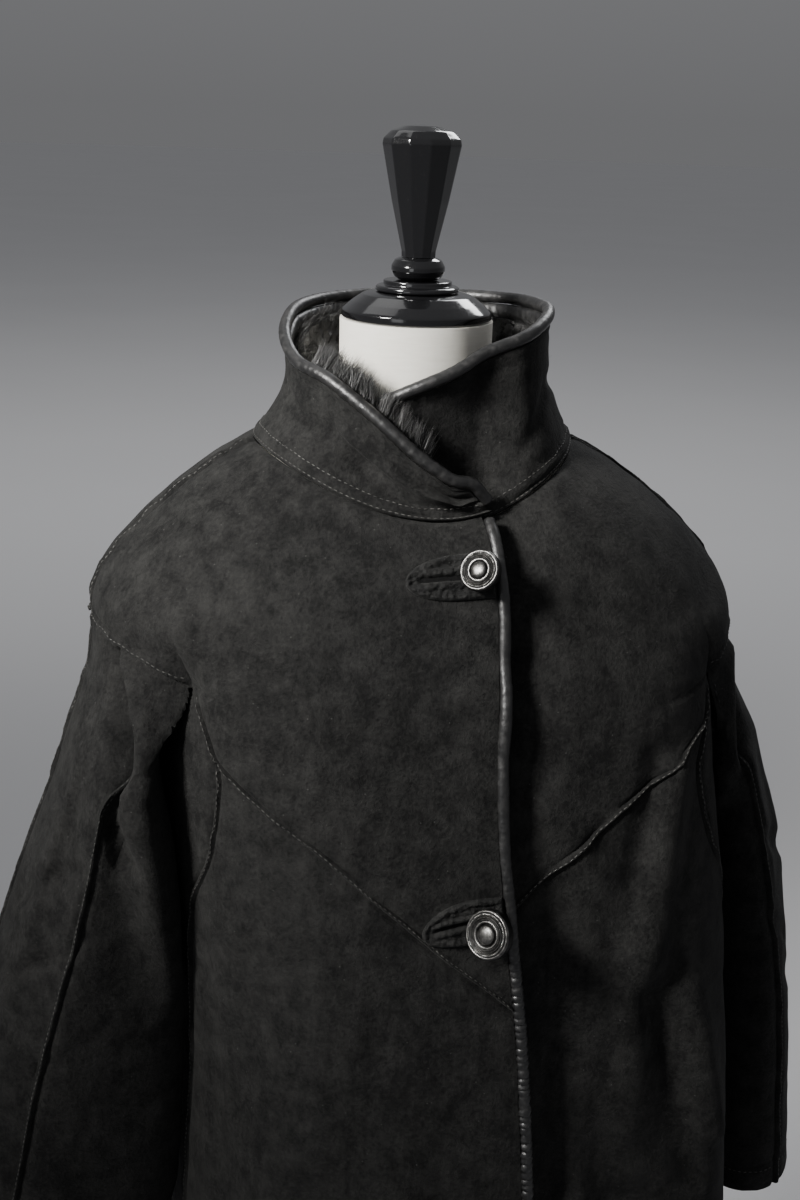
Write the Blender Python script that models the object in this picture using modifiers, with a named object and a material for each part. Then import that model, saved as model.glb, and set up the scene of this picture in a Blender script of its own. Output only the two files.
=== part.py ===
"""A shearling coat on a limbless dress form.

Units are metres and +Z is up. The coat's front faces -Y and the wearer's left is at +X.
The origin is the middle of the stand's flat underside, on the floor.

The coat's shell is one surface, worked out from horizontal rings. A place on it is given by
  turn: degrees around the trunk, 0 at the front, 90 at the wearer's left, 180 at the back;
  drop: 0 at the collar seam, 1 at the level of the sleeve seams, and one more for each metre below.
Each panel is a grid of such places between its seams, thickened inward by the wall.
"""

import math
from collections import namedtuple

import bmesh
import bpy
import numpy as np

# Driving sizes
WALL = 0.004              # suede with its clipped pile
SEAM_GAP = 0.0003         # between pieces that are sewn together
FUR_DEPTH = 0.009         # reach of the collar's fur
FUR_GAP = 0.0008          # between the fur's reach and the collar's wall
HEM_Z = 0.47
CUFF_Z = 0.715
UNDER_DROP = 0.0085       # the left front's edge lies this far under the right front
EDGE_LIFT = 0.004         # the right front's edge stands away by this much
UNDER_FROM, UNDER_TO = 0.095, 0.040   # the left front sinks between these distances from the middle
LIFT_FROM, LIFT_TO = -0.045, 0.036    # and the right front rises between these
LIFT_DROP = 0.15          # from nothing at the collar seam
CREASE_FROM = 0.68        # the creases beside the arms start this far down the yoke
SEAM_FLAT = 0.04          # the surface stands upright this near to the sleeve seams' level
SLEEVE_TOP_SHARE = 0.06   # and along this share of the sleeve
TURN_STEP, DROP_STEP = 1.5, 0.02      # for normals of the coat and its collar
ANGLE_STEP, SHARE_STEP = 12.0, 0.045    # and of the sleeves, whose folds are sharper
BINDING_RADIUS = 0.0047
BINDING_STEPS = 34
BINDING_FROM = 0.012      # the front binding's start, as a drop
BINDING_SHORT_BY = 0.002  # and its end, above the hem
BINDING_DEPTH = 0.4       # its middle lies at this share of the wall
BINDING_FOOT = (0.18, 0.45, 0.72)     # places up the collar's slanted end, as shares of its height
UNDERARM_DIP = 0.030      # the underarm's middle is this far below the sleeve seam
DIP_POWER = 3             # the higher, the sooner the rows below lie level
CUFF_TILT = math.tan(math.radians(11.0))
TILT_FROM = 0.2           # share of the sleeve at which its rings begin to tilt
UNDERARM_GAP = 0.0012     # between the sleeve's underarm and the side panel
CORNER_ANGLE = 45         # this gap fades within this angle past the armhole's corners
SLEEVE_DROP = np.array([0, 0, 0.0004])  # the sleeve's top edge is this far below the armhole
SLEEVE_CLEARANCE = 0.004  # at least this much between a hanging sleeve and the body
COLUMN_LEFT = 0.016         # the left sleeve's front fold stands this much further out
ARM_FRONT_TURN = 62.0     # the crease between chest and arm, on either side
ARM_BACK_TURN = 115.0
CAP_POWER = 6             # the higher, the narrower is the rise of the sleeve seams over the arms
SHOULDER_TURN = 88.5      # the shoulder seam, halfway between the creases
NECK_RADIUS = 0.0587

# Rings of the yoke, from the collar seam to the sleeve seams
CapeRing = namedtuple("CapeRing", "level side_z front_z back_z half_width front_depth back_depth squareness")
CAPE_RINGS = [
    CapeRing(0.0, 1.402, 1.361, 1.413, 0.126, 0.113, 0.097, 2.0),
    CapeRing(1.0, 1.377, 1.337, 1.377, 0.168, 0.136, 0.117, 2.05),
    CapeRing(2.0, 1.338, 1.306, 1.335, 0.216, 0.153, 0.130, 2.15),
    CapeRing(3.0, 1.300, 1.259, 1.284, 0.247, 0.165, 0.139, 2.3),
    CapeRing(4.0, 1.268, 1.205, 1.232, 0.258, 0.178, 0.144, 2.4),
]

# Rings of the trunk, from the sleeve seams to the hem. Sway is how far the ring's middle hangs to the left.
TrunkRing = namedtuple("TrunkRing", "z right_width left_width front_depth back_depth squareness sway")
TRUNK_RINGS = [
    TrunkRing(1.260, 0.206, 0.208, 0.172, 0.144, 2.5, 0.006),
    TrunkRing(1.170, 0.212, 0.214, 0.183, 0.147, 2.6, 0.008),
    TrunkRing(1.080, 0.213, 0.222, 0.193, 0.151, 2.6, 0.013),
    TrunkRing(0.950, 0.213, 0.228, 0.201, 0.158, 2.55, 0.026),
    TrunkRing(0.800, 0.221, 0.236, 0.209, 0.169, 2.5, 0.032),
    TrunkRing(0.620, 0.232, 0.246, 0.217, 0.181, 2.45, 0.036),
    TrunkRing(0.470, 0.241, 0.254, 0.223, 0.191, 2.4, 0.039),
]

# How far each front reaches past the middle, on the way from the collar seam to the hem
LapPoint = namedtuple("LapPoint", "drop reach")
LAPS = [
    LapPoint(0.00, 0.0410),
    LapPoint(0.30, 0.0405),
    LapPoint(0.53, 0.0400),
    LapPoint(0.75, 0.0375),
    LapPoint(0.98, 0.0335),
    LapPoint(1.06, 0.0335),
    LapPoint(1.14, 0.0370),
    LapPoint(1.24, 0.0380),
    LapPoint(1.38, 0.0420),
    LapPoint(1.74, 0.0460),
]

# Folds of the trunk: where they stand, how wide, from which height down, and how far out
Fold = namedtuple("Fold", "turn half_angle start_z full_z depth")
FOLDS = [
    Fold(58, 30, 1.36, 1.20, 0.029),
    Fold(-46, 11, 1.02, 0.62, 0.009),
    Fold(-29, 9, 1.00, 0.60, -0.008),
    Fold(-12, 8, 0.95, 0.55, 0.006),
    Fold(30, 9, 1.08, 0.80, -0.007),
    Fold(48, 12, 1.12, 0.86, 0.011),
    Fold(66, 8, 1.05, 0.80, -0.007),
    Fold(100, 12, 1.00, 0.60, 0.006),
    Fold(132, 13, 1.05, 0.62, 0.010),
    Fold(153, 10, 0.98, 0.58, -0.008),
    Fold(176, 12, 1.02, 0.60, 0.008),
    Fold(-157, 11, 1.00, 0.55, -0.009),
    Fold(-134, 12, 1.04, 0.62, 0.010),
    Fold(-96, 13, 0.98, 0.58, 0.005),
]

# The yoke seam on each front, and across the back
YokePoint = namedtuple("YokePoint", "turn right_z left_z")
YOKE_SEAM = [
    YokePoint(-16, 0.975, 0.991),
    YokePoint(-3, 1.021, 1.036),
    YokePoint(3, 1.039, 1.053),
    YokePoint(16, 1.082, 1.093),
    YokePoint(31, 1.128, 1.134),
    YokePoint(46, 1.165, 1.178),
    YokePoint(53, 1.184, 1.198),
    YokePoint(62, 1.200, 1.212),
]
BACK_YOKE_SIDE_Z = 1.190
BACK_YOKE_MIDDLE_Z = 1.085
BACK_YOKE_BEND = 1.3
SEAM_ROUNDS = 12          # repeats that settle a seam's height and turn on each other

# The side seams: the edges of the front and back lower panels
SidePoint = namedtuple("SidePoint", "z front_turn back_turn")
SIDE_SEAMS = [
    SidePoint(1.235, 62.0, 115.0),
    SidePoint(1.185, 53.0, 115.0),
    SidePoint(1.130, 55.0, 114.0),
    SidePoint(1.060, 63.0, 113.0),
    SidePoint(0.950, 71.0, 111.0),
    SidePoint(0.750, 76.0, 108.0),
    SidePoint(0.470, 78.0, 106.0),
]

# Sections of the sleeves. The wearer's right sleeve hangs wider than the left one.
SleeveRing = namedtuple("SleeveRing", "z outer_right inner_right outer_left inner_left front_y back_y")
SLEEVE_RINGS = [
    SleeveRing(1.268, 0.252, 0.206, 0.264, 0.212, -0.096, 0.078),
    SleeveRing(1.160, 0.276, 0.210, 0.294, 0.228, -0.104, 0.084),
    SleeveRing(1.060, 0.311, 0.205, 0.328, 0.244, -0.102, 0.085),
    SleeveRing(0.950, 0.346, 0.198, 0.348, 0.263, -0.098, 0.080),
    SleeveRing(0.830, 0.378, 0.199, 0.366, 0.277, -0.090, 0.074),
    SleeveRing(0.715, 0.402, 0.216, 0.380, 0.288, -0.082, 0.068),
]

# Folds of the sleeves, by the angle round the sleeve
SleeveFold = namedtuple("SleeveFold", "side angle half_angle top_z bottom_z forward inward")
SLEEVE_FOLDS = [
    SleeveFold("right", -52, 45, 1.262, 0.400, 0.004, 0.029),
    SleeveFold("right", 30, 22, 1.215, 0.880, -0.012, 0.0),
    SleeveFold("right", 150, 30, 1.200, 0.900, -0.010, 0.0),
    SleeveFold("left", 35, 24, 1.220, 0.900, -0.010, 0.0),
    SleeveFold("left", 146, 28, 1.190, 0.930, -0.009, 0.0),
]

# The sleeve's front seam starts over the front fold, passes behind it and moves outward below
SeamPoint = namedtuple("SeamPoint", "share angle")
SLEEVE_SEAM = [
    SeamPoint(0.000, 50.0),
    SeamPoint(0.060, 33.0),
    SeamPoint(0.100, 14.0),
    SeamPoint(0.140, 0.0),
    SeamPoint(0.300, 2.0),
    SeamPoint(0.500, 11.5),
    SeamPoint(0.700, 16.5),
    SeamPoint(1.000, 18.0),
]
ARMPIT_TURN, ARMPIT_SHARE = 45.0, 0.16  # a line of the sleeve's back panel starts at the armhole's front corner
FOLD_RISE, FOLD_FALL = 0.25, 0.4      # a fold is full between these shares of its length
SLEEVE_SETTLE = 0.10      # the armhole's shape passes into the sleeve's within this height

# The fold that falls from the front of each armhole: a column in front of the sleeve, that ends in a point
ColumnPoint = namedtuple("ColumnPoint", "z x half_width forward")
SLEEVE_COLUMN = [
    ColumnPoint(1.262, 0.224, 0.030, 0.000),
    ColumnPoint(1.225, 0.222, 0.032, 0.020),
    ColumnPoint(1.150, 0.216, 0.033, 0.036),
    ColumnPoint(1.080, 0.207, 0.032, 0.034),
    ColumnPoint(1.000, 0.196, 0.028, 0.016),
    ColumnPoint(0.940, 0.190, 0.026, 0.000),
]

# The collar, from its outer end at the front, round the wearer's right, the back and the left,
# to its inner end under the first: unrolled turn, height of the edge, and its distance from the neck's axis
CollarRow = namedtuple("CollarRow", "turn edge_z edge_radius pinch")
COLLAR_ROWS = [
    CollarRow(10, 1.389, 0.111, 0.010),
    CollarRow(5, 1.388, 0.111, 0.010),
    CollarRow(-1, 1.395, 0.111, 0.010),
    CollarRow(-9, 1.405, 0.110, 0.011),
    CollarRow(-30, 1.437, 0.107, 0.014),
    CollarRow(-53, 1.459, 0.105, 0.015),
    CollarRow(-70, 1.464, 0.104, 0.015),
    CollarRow(-88, 1.477, 0.103, 0.015),
    CollarRow(-110, 1.492, 0.099, 0.013),
    CollarRow(-145, 1.497, 0.100, 0.011),
    CollarRow(-180, 1.499, 0.101, 0.010),
    CollarRow(-215, 1.500, 0.102, 0.009),
    CollarRow(-250, 1.502, 0.103, 0.008),
    CollarRow(-280, 1.502, 0.103, 0.008),
    CollarRow(-298, 1.498, 0.103, 0.007),
    CollarRow(-319, 1.487, 0.101, 0.006),
    CollarRow(-336, 1.476, 0.099, 0.008),
    CollarRow(-350, 1.465, 0.100, 0.009),
    CollarRow(-366, 1.455, 0.101, 0.010),
    CollarRow(-388, 1.440, 0.101, 0.010),
]
COLLAR_FOOT_TURN = 20     # its outer end slants from here, at the seam, to the first row's turn at its edge
COLLAR_UNDER_DROP = 0.0140  # how far its inner end lies inside its outer end
COLLAR_UNDER_TURNS = (-314, -338)     # and the turns between which it moves in
COLLAR_UNDER_SHARE = 0.2  # and the share of its height
COLLAR_HEIGHT = 0.1       # the table's pinch is for a collar of this height
CollarDent = namedtuple("CollarDent", "turn half_angle height half_height depth")
COLLAR_DENTS = [
    CollarDent(-30, 15, 0.35, 0.35, 0.006),
    CollarDent(8, 9, 0.45, 0.45, 0.004),
]

# The buttons: how far to the left of the right front's middle, height, and how they lean
ButtonPlace = namedtuple("ButtonPlace", "name offset z radius lean_side lean_up patch_up patch_reach")
BUTTONS = [
    ButtonPlace("1", 0.0165, 1.3265, 0.0150, 46.0, -5.0, 0.000, 0.051),
    ButtonPlace("2", 0.0110, 1.0775, 0.0183, 50.0, 14.0, 0.003, 0.046),
    ButtonPlace("3", 0.0120, 0.820, 0.0183, 44.0, 12.0, 0.003, 0.045),
]
# Outline of a button, in radii: (distance from its axis, height), from the dome to the back of the rim
BUTTON_FACE = [(0.0, 0.44), (0.24, 0.42), (0.38, 0.35), (0.43, 0.29), (0.52, 0.35), (0.68, 0.37), (0.85, 0.34),
               (0.97, 0.28), (1.0, 0.20), (1.0, -0.10), (0.95, -0.17), (0.88, -0.19)]
RIM_BACK = 0.19
SHANK_RADIUS = 0.30
PATCH_HALF_HEIGHT = 0.0140
PATCH_THICKNESS = 0.0014
PATCH_GAP = 0.00075       # to the front's surface, which is faceted
PATCH_COLUMNS, PATCH_ROWS = 8, 4
PATCH_SHORT_BY = 0.002    # it ends this far from the binding
PATCH_TIP = (-0.12, 0.5)  # it widens between these shares of its length

# Rings of the form, from its flat underside to the top of its neck
FormRing = namedtuple("FormRing", "z half_width front_depth back_depth")
FORM_RINGS = [
    FormRing(0.740, 0.163, 0.112, 0.122),
    FormRing(0.830, 0.172, 0.118, 0.130),
    FormRing(0.930, 0.152, 0.106, 0.110),
    FormRing(1.020, 0.128, 0.098, 0.090),
    FormRing(1.110, 0.146, 0.112, 0.096),
    FormRing(1.200, 0.163, 0.124, 0.104),
    FormRing(1.265, 0.178, 0.118, 0.106),
    FormRing(1.310, 0.188, 0.106, 0.100),
    FormRing(1.340, 0.1900, 0.089, 0.090),
    FormRing(1.362, 0.1782, 0.074, 0.080),
    FormRing(1.380, 0.1440, 0.065, 0.073),
    FormRing(1.400, 0.1060, 0.0615, 0.066),
    FormRing(1.422, 0.0760, 0.0595, 0.062),
    FormRing(1.450, NECK_RADIUS, NECK_RADIUS, NECK_RADIUS),
    FormRing(1.4922, NECK_RADIUS, NECK_RADIUS, NECK_RADIUS),
]
FORM_SQUARENESS = 2.15
FORM_ROUND_Z = 1.40       # its sections are plain ellipses above this height
FORM_STEPS = 32
FORM_ROW = 0.05           # rings further apart than this get another between them

# Turned wood, each as (radius, height), top to bottom down the outer side
CAP_PROFILE = [(0.034, 1.5125), (0.042, 1.5105), (0.0500, 1.5050), (0.0560, 1.5000), (0.0575, 1.4985),
               (0.0575, 1.4935), (0.0565, 1.4925)]
DISC_PROFILE = [(0.0245, 1.5215), (0.0262, 1.5210), (0.0262, 1.5178), (0.0306, 1.5172), (0.0320, 1.5160),
                (0.0320, 1.5138), (0.0310, 1.5128)]
RING_PROFILE = [(0.0140, 1.5383), (0.0178, 1.5365), (0.0204, 1.5320), (0.0206, 1.5285), (0.0182, 1.5240),
                (0.0150, 1.5218)]
POLE_RADIUS = 0.016
BASE_PROFILE = [(0.024, 0.046), (0.030, 0.044), (0.034, 0.038), (0.120, 0.031), (0.158, 0.026), (0.168, 0.018),
                (0.170, 0.010), (0.167, 0.0)]
HANDLE_FLATS = 12
LARGE_STEPS, SMALL_STEPS = 48, 24
HANDLE_PROFILE = [(0.0, 1.6349), (0.014, 1.6336), (0.024, 1.6300), (0.0297, 1.6245), (0.0304, 1.6205),
                  (0.0222, 1.5800), (0.0134, 1.5430), (0.0132, 1.5387)]

LEAST_MITER = 0.4         # keeps mitred corners from running away

# Grid of each panel
CHEST_COLUMNS = 8
ARM_COLUMNS = 5
BACK_COLUMNS = 14
CAPE_ROWS = 7
YOKE_ROWS = 5
LOWER_ROWS = 9
SIDE_COLUMNS = 6
SLEEVE_ROWS = 11
UNDERARM_COLUMNS = 6
FOLD_COLUMNS = 3
COLLAR_COLUMNS = 42
COLLAR_LEVELS = 5
FUR_FIRST_LEVEL = 2       # the fur's reach starts at this level of the collar
FUR_SHORT_BY = 2          # and stops this many columns before either end of the collar


def column(rows, name):
    return [getattr(row, name) for row in rows]


def curve_through(xs, ys, x):
    """A smooth curve through points, without overshoot, read at x."""
    if xs[0] > xs[-1]:
        xs = xs[::-1]
        ys = ys[::-1]
    x = min(max(x, xs[0]), xs[-1])
    i = 0
    while i < len(xs) - 2 and x > xs[i + 1]:
        i += 1
    slopes = [(ys[k + 1] - ys[k]) / (xs[k + 1] - xs[k]) for k in range(len(xs) - 1)]

    def tangent(k):
        if k == 0:
            return slopes[0]
        if k == len(xs) - 1:
            return slopes[-1]
        before, after = slopes[k - 1], slopes[k]
        if before * after <= 0:
            return 0.0
        return 2 * before * after / (before + after)

    step = xs[i + 1] - xs[i]
    s = (x - xs[i]) / step
    return (ys[i] * (1 + 2 * s) * (1 - s) ** 2 + tangent(i) * step * s * (1 - s) ** 2
            + ys[i + 1] * s * s * (3 - 2 * s) + tangent(i + 1) * step * s * s * (s - 1))


def smooth(low, high, x):
    s = min(max((x - low) / (high - low), 0.0), 1.0)
    return s * s * (3 - 2 * s)


def bump(distance, half_width):
    """1 at no distance, falling softly to 0 at the half width."""
    s = min(abs(distance) / half_width, 1.0)
    return (1 - s * s) ** 2


def unit(vector):
    return vector / max(np.linalg.norm(vector), 1e-12)


def wrap(turn):
    return (turn + 180.0) % 360.0 - 180.0


# ---- the coat's surface ----

def ring_offset(turn, right_width, left_width, front_depth, back_depth, squareness):
    """A point of a superellipse, by its polar angle."""
    s = math.sin(math.radians(turn))
    c = math.cos(math.radians(turn))
    half_width = left_width if s > 0 else right_width
    depth = front_depth if c > 0 else back_depth
    radius = (abs(s / half_width) ** squareness + abs(c / depth) ** squareness) ** (-1 / squareness)
    return radius * s, -radius * c


def cap_height(turn):
    """Height of the sleeve seams' level, which is higher at the arms."""
    ring = CAPE_RINGS[-1]
    s = abs(math.sin(math.radians(turn))) ** CAP_POWER
    end_z = ring.front_z if abs(wrap(turn)) < 90 else ring.back_z
    return ring.side_z * s + end_z * (1 - s)


def trunk_values(z):
    zs = column(TRUNK_RINGS, "z")
    return [curve_through(zs, column(TRUNK_RINGS, name), z) for name in TrunkRing._fields[1:]]


def trunk_point(turn, z):
    *shape, sway = trunk_values(z)
    x, y = ring_offset(turn, *shape)
    out = sum(fold.depth * bump(wrap(turn - fold.turn), fold.half_angle) * smooth(fold.start_z, fold.full_z, z)
              for fold in FOLDS)
    radius = math.hypot(x, y)
    return np.array([x * (1 + out / radius) + sway, y * (1 + out / radius), z])


def arm_point(turn, z):
    """The half ellipse of the shoulder cap, from the front crease to the back one."""
    side = 1 if turn > 0 else -1
    angle = math.pi * (abs(turn) - ARM_FRONT_TURN) / (ARM_BACK_TURN - ARM_FRONT_TURN)
    front = trunk_point(side * ARM_FRONT_TURN, z)
    back = trunk_point(side * ARM_BACK_TURN, z)
    reach = CAPE_RINGS[-1].half_width * side + TRUNK_RINGS[0].sway
    base_x = front[0] + (back[0] - front[0]) * (1 - math.cos(angle)) / 2
    x = base_x + (reach - front[0]) * math.sin(angle)
    y = (front[1] + back[1]) / 2 - math.cos(angle) * (back[1] - front[1]) / 2
    return np.array([x, y, z])


def cape_point(turn, drop):
    """The yoke above the sleeve seams: a smooth dome that divides into chest and arms."""
    turn = wrap(turn)
    levels = column(CAPE_RINGS, "level")
    values = [curve_through(levels, column(CAPE_RINGS, name), drop * levels[-1]) for name in CapeRing._fields[1:]]
    side_z, front_z, back_z, half_width, front_depth, back_depth, squareness = values
    s = abs(math.sin(math.radians(turn))) ** (2 + (CAP_POWER - 2) * drop)
    z = side_z * s + (front_z if abs(turn) < 90 else back_z) * (1 - s)
    x, y = ring_offset(turn, half_width, half_width, front_depth, back_depth, squareness)
    point = np.array([x + TRUNK_RINGS[0].sway * drop, y, z])
    crease = smooth(CREASE_FROM, 1.0, drop)
    if crease > 0:
        base_z = cap_height(turn)
        in_arm = ARM_FRONT_TURN < abs(turn) < ARM_BACK_TURN
        creased = arm_point(turn, base_z) if in_arm else trunk_point(turn, base_z)
        point[:2] += (creased[:2] - point[:2]) * crease
    return point


def shell_point(turn, drop):
    if drop <= 1:
        return cape_point(turn, drop)
    return trunk_point(turn, cap_height(turn) - (drop - 1))


def shell_normal(turn, drop, on_trunk=False):
    """Outward normal. At the sleeve seams' level it lies flat, so that the pieces on both sides agree."""
    def place(a, b):
        if on_trunk:
            return trunk_point(a, cap_height(a) - (max(b, 1.0) - 1))
        return shell_point(a, max(b, 0.0))

    around = place(turn + TURN_STEP, drop) - place(turn - TURN_STEP, drop)
    down = place(turn, drop + DROP_STEP) - place(turn, drop - DROP_STEP)
    normal = unit(np.cross(down, around))
    flat = bump(drop - 1.0, SEAM_FLAT)
    return unit(normal * np.array([1, 1, 1 - flat]))


def coat_place(turn, drop, side, on_trunk=False):
    """Point and normal of the outer surface on the wearer's right (side -1), left (+1) or elsewhere (0)."""
    crease = abs(abs(wrap(turn)) - ARM_FRONT_TURN) < 0.01 or abs(abs(wrap(turn)) - ARM_BACK_TURN) < 0.01
    on_trunk = on_trunk or (crease and drop >= 1)
    point = trunk_point(turn, cap_height(turn) - (drop - 1)) if on_trunk else shell_point(turn, drop)
    normal = shell_normal(turn, drop, on_trunk)
    across = point[0] - ring_middle(drop, turn)
    if side > 0:
        point = point - normal * UNDER_DROP * (1 - smooth(UNDER_TO, UNDER_FROM, across))
    if side < 0:
        point = point + normal * EDGE_LIFT * smooth(LIFT_FROM, LIFT_TO, across) * smooth(0.0, LIFT_DROP, drop)
    return point, normal


def ring_middle(drop, turn):
    if drop <= 1:
        return TRUNK_RINGS[0].sway * drop
    return trunk_values(cap_height(turn) - (drop - 1))[-1]


def turn_at(across, drop):
    """The turn that lies this far to the left of the middle, on the front."""
    if drop <= 1:
        depth = curve_through(column(CAPE_RINGS, "level"), column(CAPE_RINGS, "front_depth"),
                              drop * CAPE_RINGS[-1].level)
    else:
        depth = trunk_values(CAPE_RINGS[-1].front_z - (drop - 1))[2]
    return math.degrees(math.atan(across / depth))


def lap_reach(drop):
    return curve_through(column(LAPS, "drop"), column(LAPS, "reach"), drop)


def drop_at(turn, z):
    return 1 + cap_height(turn) - z


def side_turn(drop, side, name="front_turn"):
    z = cap_height(side * ARM_FRONT_TURN) - (drop - 1)
    if drop <= 1:
        return side * (ARM_FRONT_TURN if name == "front_turn" else ARM_BACK_TURN)
    return side * curve_through(column(SIDE_SEAMS, "z"), column(SIDE_SEAMS, name), z)


def yoke_drop(turn, side):
    """The yoke seam of one front. The table's turns are counted away from the middle, to the panel's side."""
    name = "left_z" if side > 0 else "right_z"
    z = curve_through(column(YOKE_SEAM, "turn"), column(YOKE_SEAM, name), side * turn)
    return drop_at(turn, z)


def back_yoke_drop(turn):
    share = (180 - abs(wrap(turn))) / (180 - ARM_BACK_TURN)
    z = BACK_YOKE_MIDDLE_Z + (BACK_YOKE_SIDE_Z - BACK_YOKE_MIDDLE_Z) * share ** BACK_YOKE_BEND
    return drop_at(turn, z)


# ---- making meshes ----

def new_object(name, vertices, faces, material):
    mesh = bpy.data.meshes.new(name)
    mesh.from_pydata([tuple(v) for v in vertices], [], faces)
    cage = bmesh.new()
    cage.from_mesh(mesh)
    bmesh.ops.recalc_face_normals(cage, faces=cage.faces)
    cage.to_mesh(mesh)
    cage.free()
    mesh.shade_smooth()
    mesh.set_sharp_from_angle(angle=math.radians(50))
    return link(bpy.data.objects.new(name, mesh), material)


def link(obj, material):
    COLLECTION.objects.link(obj)
    obj.data.materials.append(material)
    return obj


def halves(quad, points):
    """Two triangles, cut along the shorter diagonal."""
    a, b, c, d = quad
    if np.linalg.norm(points[a] - points[c]) <= np.linalg.norm(points[b] - points[d]):
        return (a, b, c), (a, c, d)
    return (a, b, d), (b, c, d)


def shell_from_grid(name, places, quads, material, wall=WALL, inset=SEAM_GAP / 2):
    """A closed wall on a grid of (point, normal) places. Its borders draw back by the inset.

    Both sides of the wall are cut into the same triangles, so that it is even where the grid is twisted.
    The narrow faces along a border are cut the same way on both sides of a seam, so that they lie flush.
    """
    points = np.array([place[0] for place in places])
    normals = np.array([unit(place[1]) for place in places])
    border = {}
    for quad in quads:
        for a, b in zip(quad, quad[1:] + quad[:1]):
            border[(a, b)] = quad
    edges = [edge for edge in border if (edge[1], edge[0]) not in border]
    pulls = {}
    for a, b in edges:
        middle = points[list(border[(a, b)])].mean(axis=0)
        along = unit(points[b] - points[a])
        for k in (a, b):
            inward = unit(np.cross(normals[k], along))
            if np.dot(inward, middle - points[a]) < 0:
                inward = -inward
            pulls.setdefault(k, []).append(inward)
    shift = np.zeros_like(points)
    for k, directions in pulls.items():
        total = sum(directions)
        shift[k] = total / max(np.dot(total, directions[0]), LEAST_MITER) * inset
    outer = points + shift
    inner = outer - normals * wall
    used = sorted({k for quad in quads for k in quad})
    index = {k: i for i, k in enumerate(used)}
    count = len(used)
    triangles = [triangle for quad in quads for triangle in halves(quad, points)]
    faces = [tuple(index[k] for k in triangle) for triangle in triangles]
    faces += [tuple(index[k] + count for k in reversed(triangle)) for triangle in triangles]
    for a, b in edges:
        high, low = (a, b) if tuple(points[a][::-1]) > tuple(points[b][::-1]) else (b, a)
        faces.append((index[high], index[low], index[low] + count))
        faces.append((index[high], index[low] + count, index[high] + count))
    return new_object(name, np.vstack([outer[used], inner[used]]), faces, material)


def grid_quads(columns, rows, first=0):
    """Quads of a grid stored row by row, with columns + 1 points in each row."""
    width = columns + 1
    return [(first + r * width + c, first + r * width + c + 1, first + (r + 1) * width + c + 1,
             first + (r + 1) * width + c) for r in range(rows) for c in range(columns)]


def tube(name, points, radius, material):
    curve = bpy.data.curves.new(name, "CURVE")
    curve.dimensions = "3D"
    spline = curve.splines.new("POLY")
    spline.points.add(len(points) - 1)
    for target, point in zip(spline.points, points):
        target.co = (*point, 1)
    curve.bevel_depth = radius
    curve.bevel_resolution = 2
    curve.use_fill_caps = True
    return link(bpy.data.objects.new(name, curve), material)


def turned(name, profile, material, steps=32):
    """A solid turned from a profile, with flat ends."""
    closed = list(profile)
    if closed[0][0] > 0:
        closed.insert(0, (0.0, closed[0][1]))
    if closed[-1][0] > 0:
        closed.append((0.0, closed[-1][1]))
    mesh = bpy.data.meshes.new(name)
    mesh.from_pydata([(r, 0, z) for r, z in closed], [(i, i + 1) for i in range(len(closed) - 1)], [])
    obj = link(bpy.data.objects.new(name, mesh), material)
    screw = obj.modifiers.new("Turn", "SCREW")
    screw.steps = steps
    screw.render_steps = steps
    screw.use_merge_vertices = True
    screw.merge_threshold = 0.0001
    return obj


def plain_material(name, colour, roughness, metallic=0.0):
    material = bpy.data.materials.new(name)
    material.use_nodes = True
    shader = material.node_tree.nodes["Principled BSDF"]
    shader.inputs["Base Color"].default_value = (*colour, 1)
    shader.inputs["Roughness"].default_value = roughness
    shader.inputs["Metallic"].default_value = metallic
    return material


# ---- the coat's pieces ----

def make_front_yoke(side, material):
    """From the front edge round the chest and over the shoulder to the shoulder seam."""
    places = []
    quads = []
    width = CHEST_COLUMNS + 1
    rows = CAPE_ROWS + YOKE_ROWS
    for r in range(rows + 1):
        for c in range(width):
            share = c / CHEST_COLUMNS
            places.append(chest_place(share, r, side))
    quads += grid_quads(CHEST_COLUMNS, rows)
    first = len(places)
    for r in range(CAPE_ROWS + 1):
        for c in range(1, ARM_COLUMNS + 1):
            turn = side * (ARM_FRONT_TURN + (SHOULDER_TURN - ARM_FRONT_TURN) * c / ARM_COLUMNS)
            places.append(coat_place(turn, r / CAPE_ROWS, side))
    for r in range(CAPE_ROWS):
        for c in range(ARM_COLUMNS):
            corner = [r * width + CHEST_COLUMNS if c == 0 else first + r * ARM_COLUMNS + c - 1,
                      first + r * ARM_COLUMNS + c, first + (r + 1) * ARM_COLUMNS + c,
                      (r + 1) * width + CHEST_COLUMNS if c == 0 else first + (r + 1) * ARM_COLUMNS + c - 1]
            quads.append(tuple(corner))
    return shell_from_grid("front_yoke_" + side_name(side), places, quads, material)


def side_name(side):
    return "left" if side > 0 else "right"


def chest_turn(share, drop, side):
    """Columns of a front, from its edge (share 0) to the crease or side seam (share 1)."""
    edge = turn_at(-side * (lap_reach(drop) - (2 * BINDING_RADIUS if side < 0 else 0)), drop)
    return edge + (side_turn(drop, side) - edge) * share


def chest_seam(share, side):
    """Drop of the yoke seam on one of the front's columns."""
    drop = 1.0
    for _ in range(SEAM_ROUNDS):
        drop = yoke_drop(chest_turn(share, drop, side), side)
    return drop


def chest_place(share, row, side):
    if row <= CAPE_ROWS:
        drop = row / CAPE_ROWS
    else:
        drop = 1 + (chest_seam(share, side) - 1) * (row - CAPE_ROWS) / YOKE_ROWS
    return coat_place(chest_turn(share, drop, side), drop, side, on_trunk=share == 1 and drop >= 1)


def hem_drop(turn):
    return drop_at(turn, HEM_Z)


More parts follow.
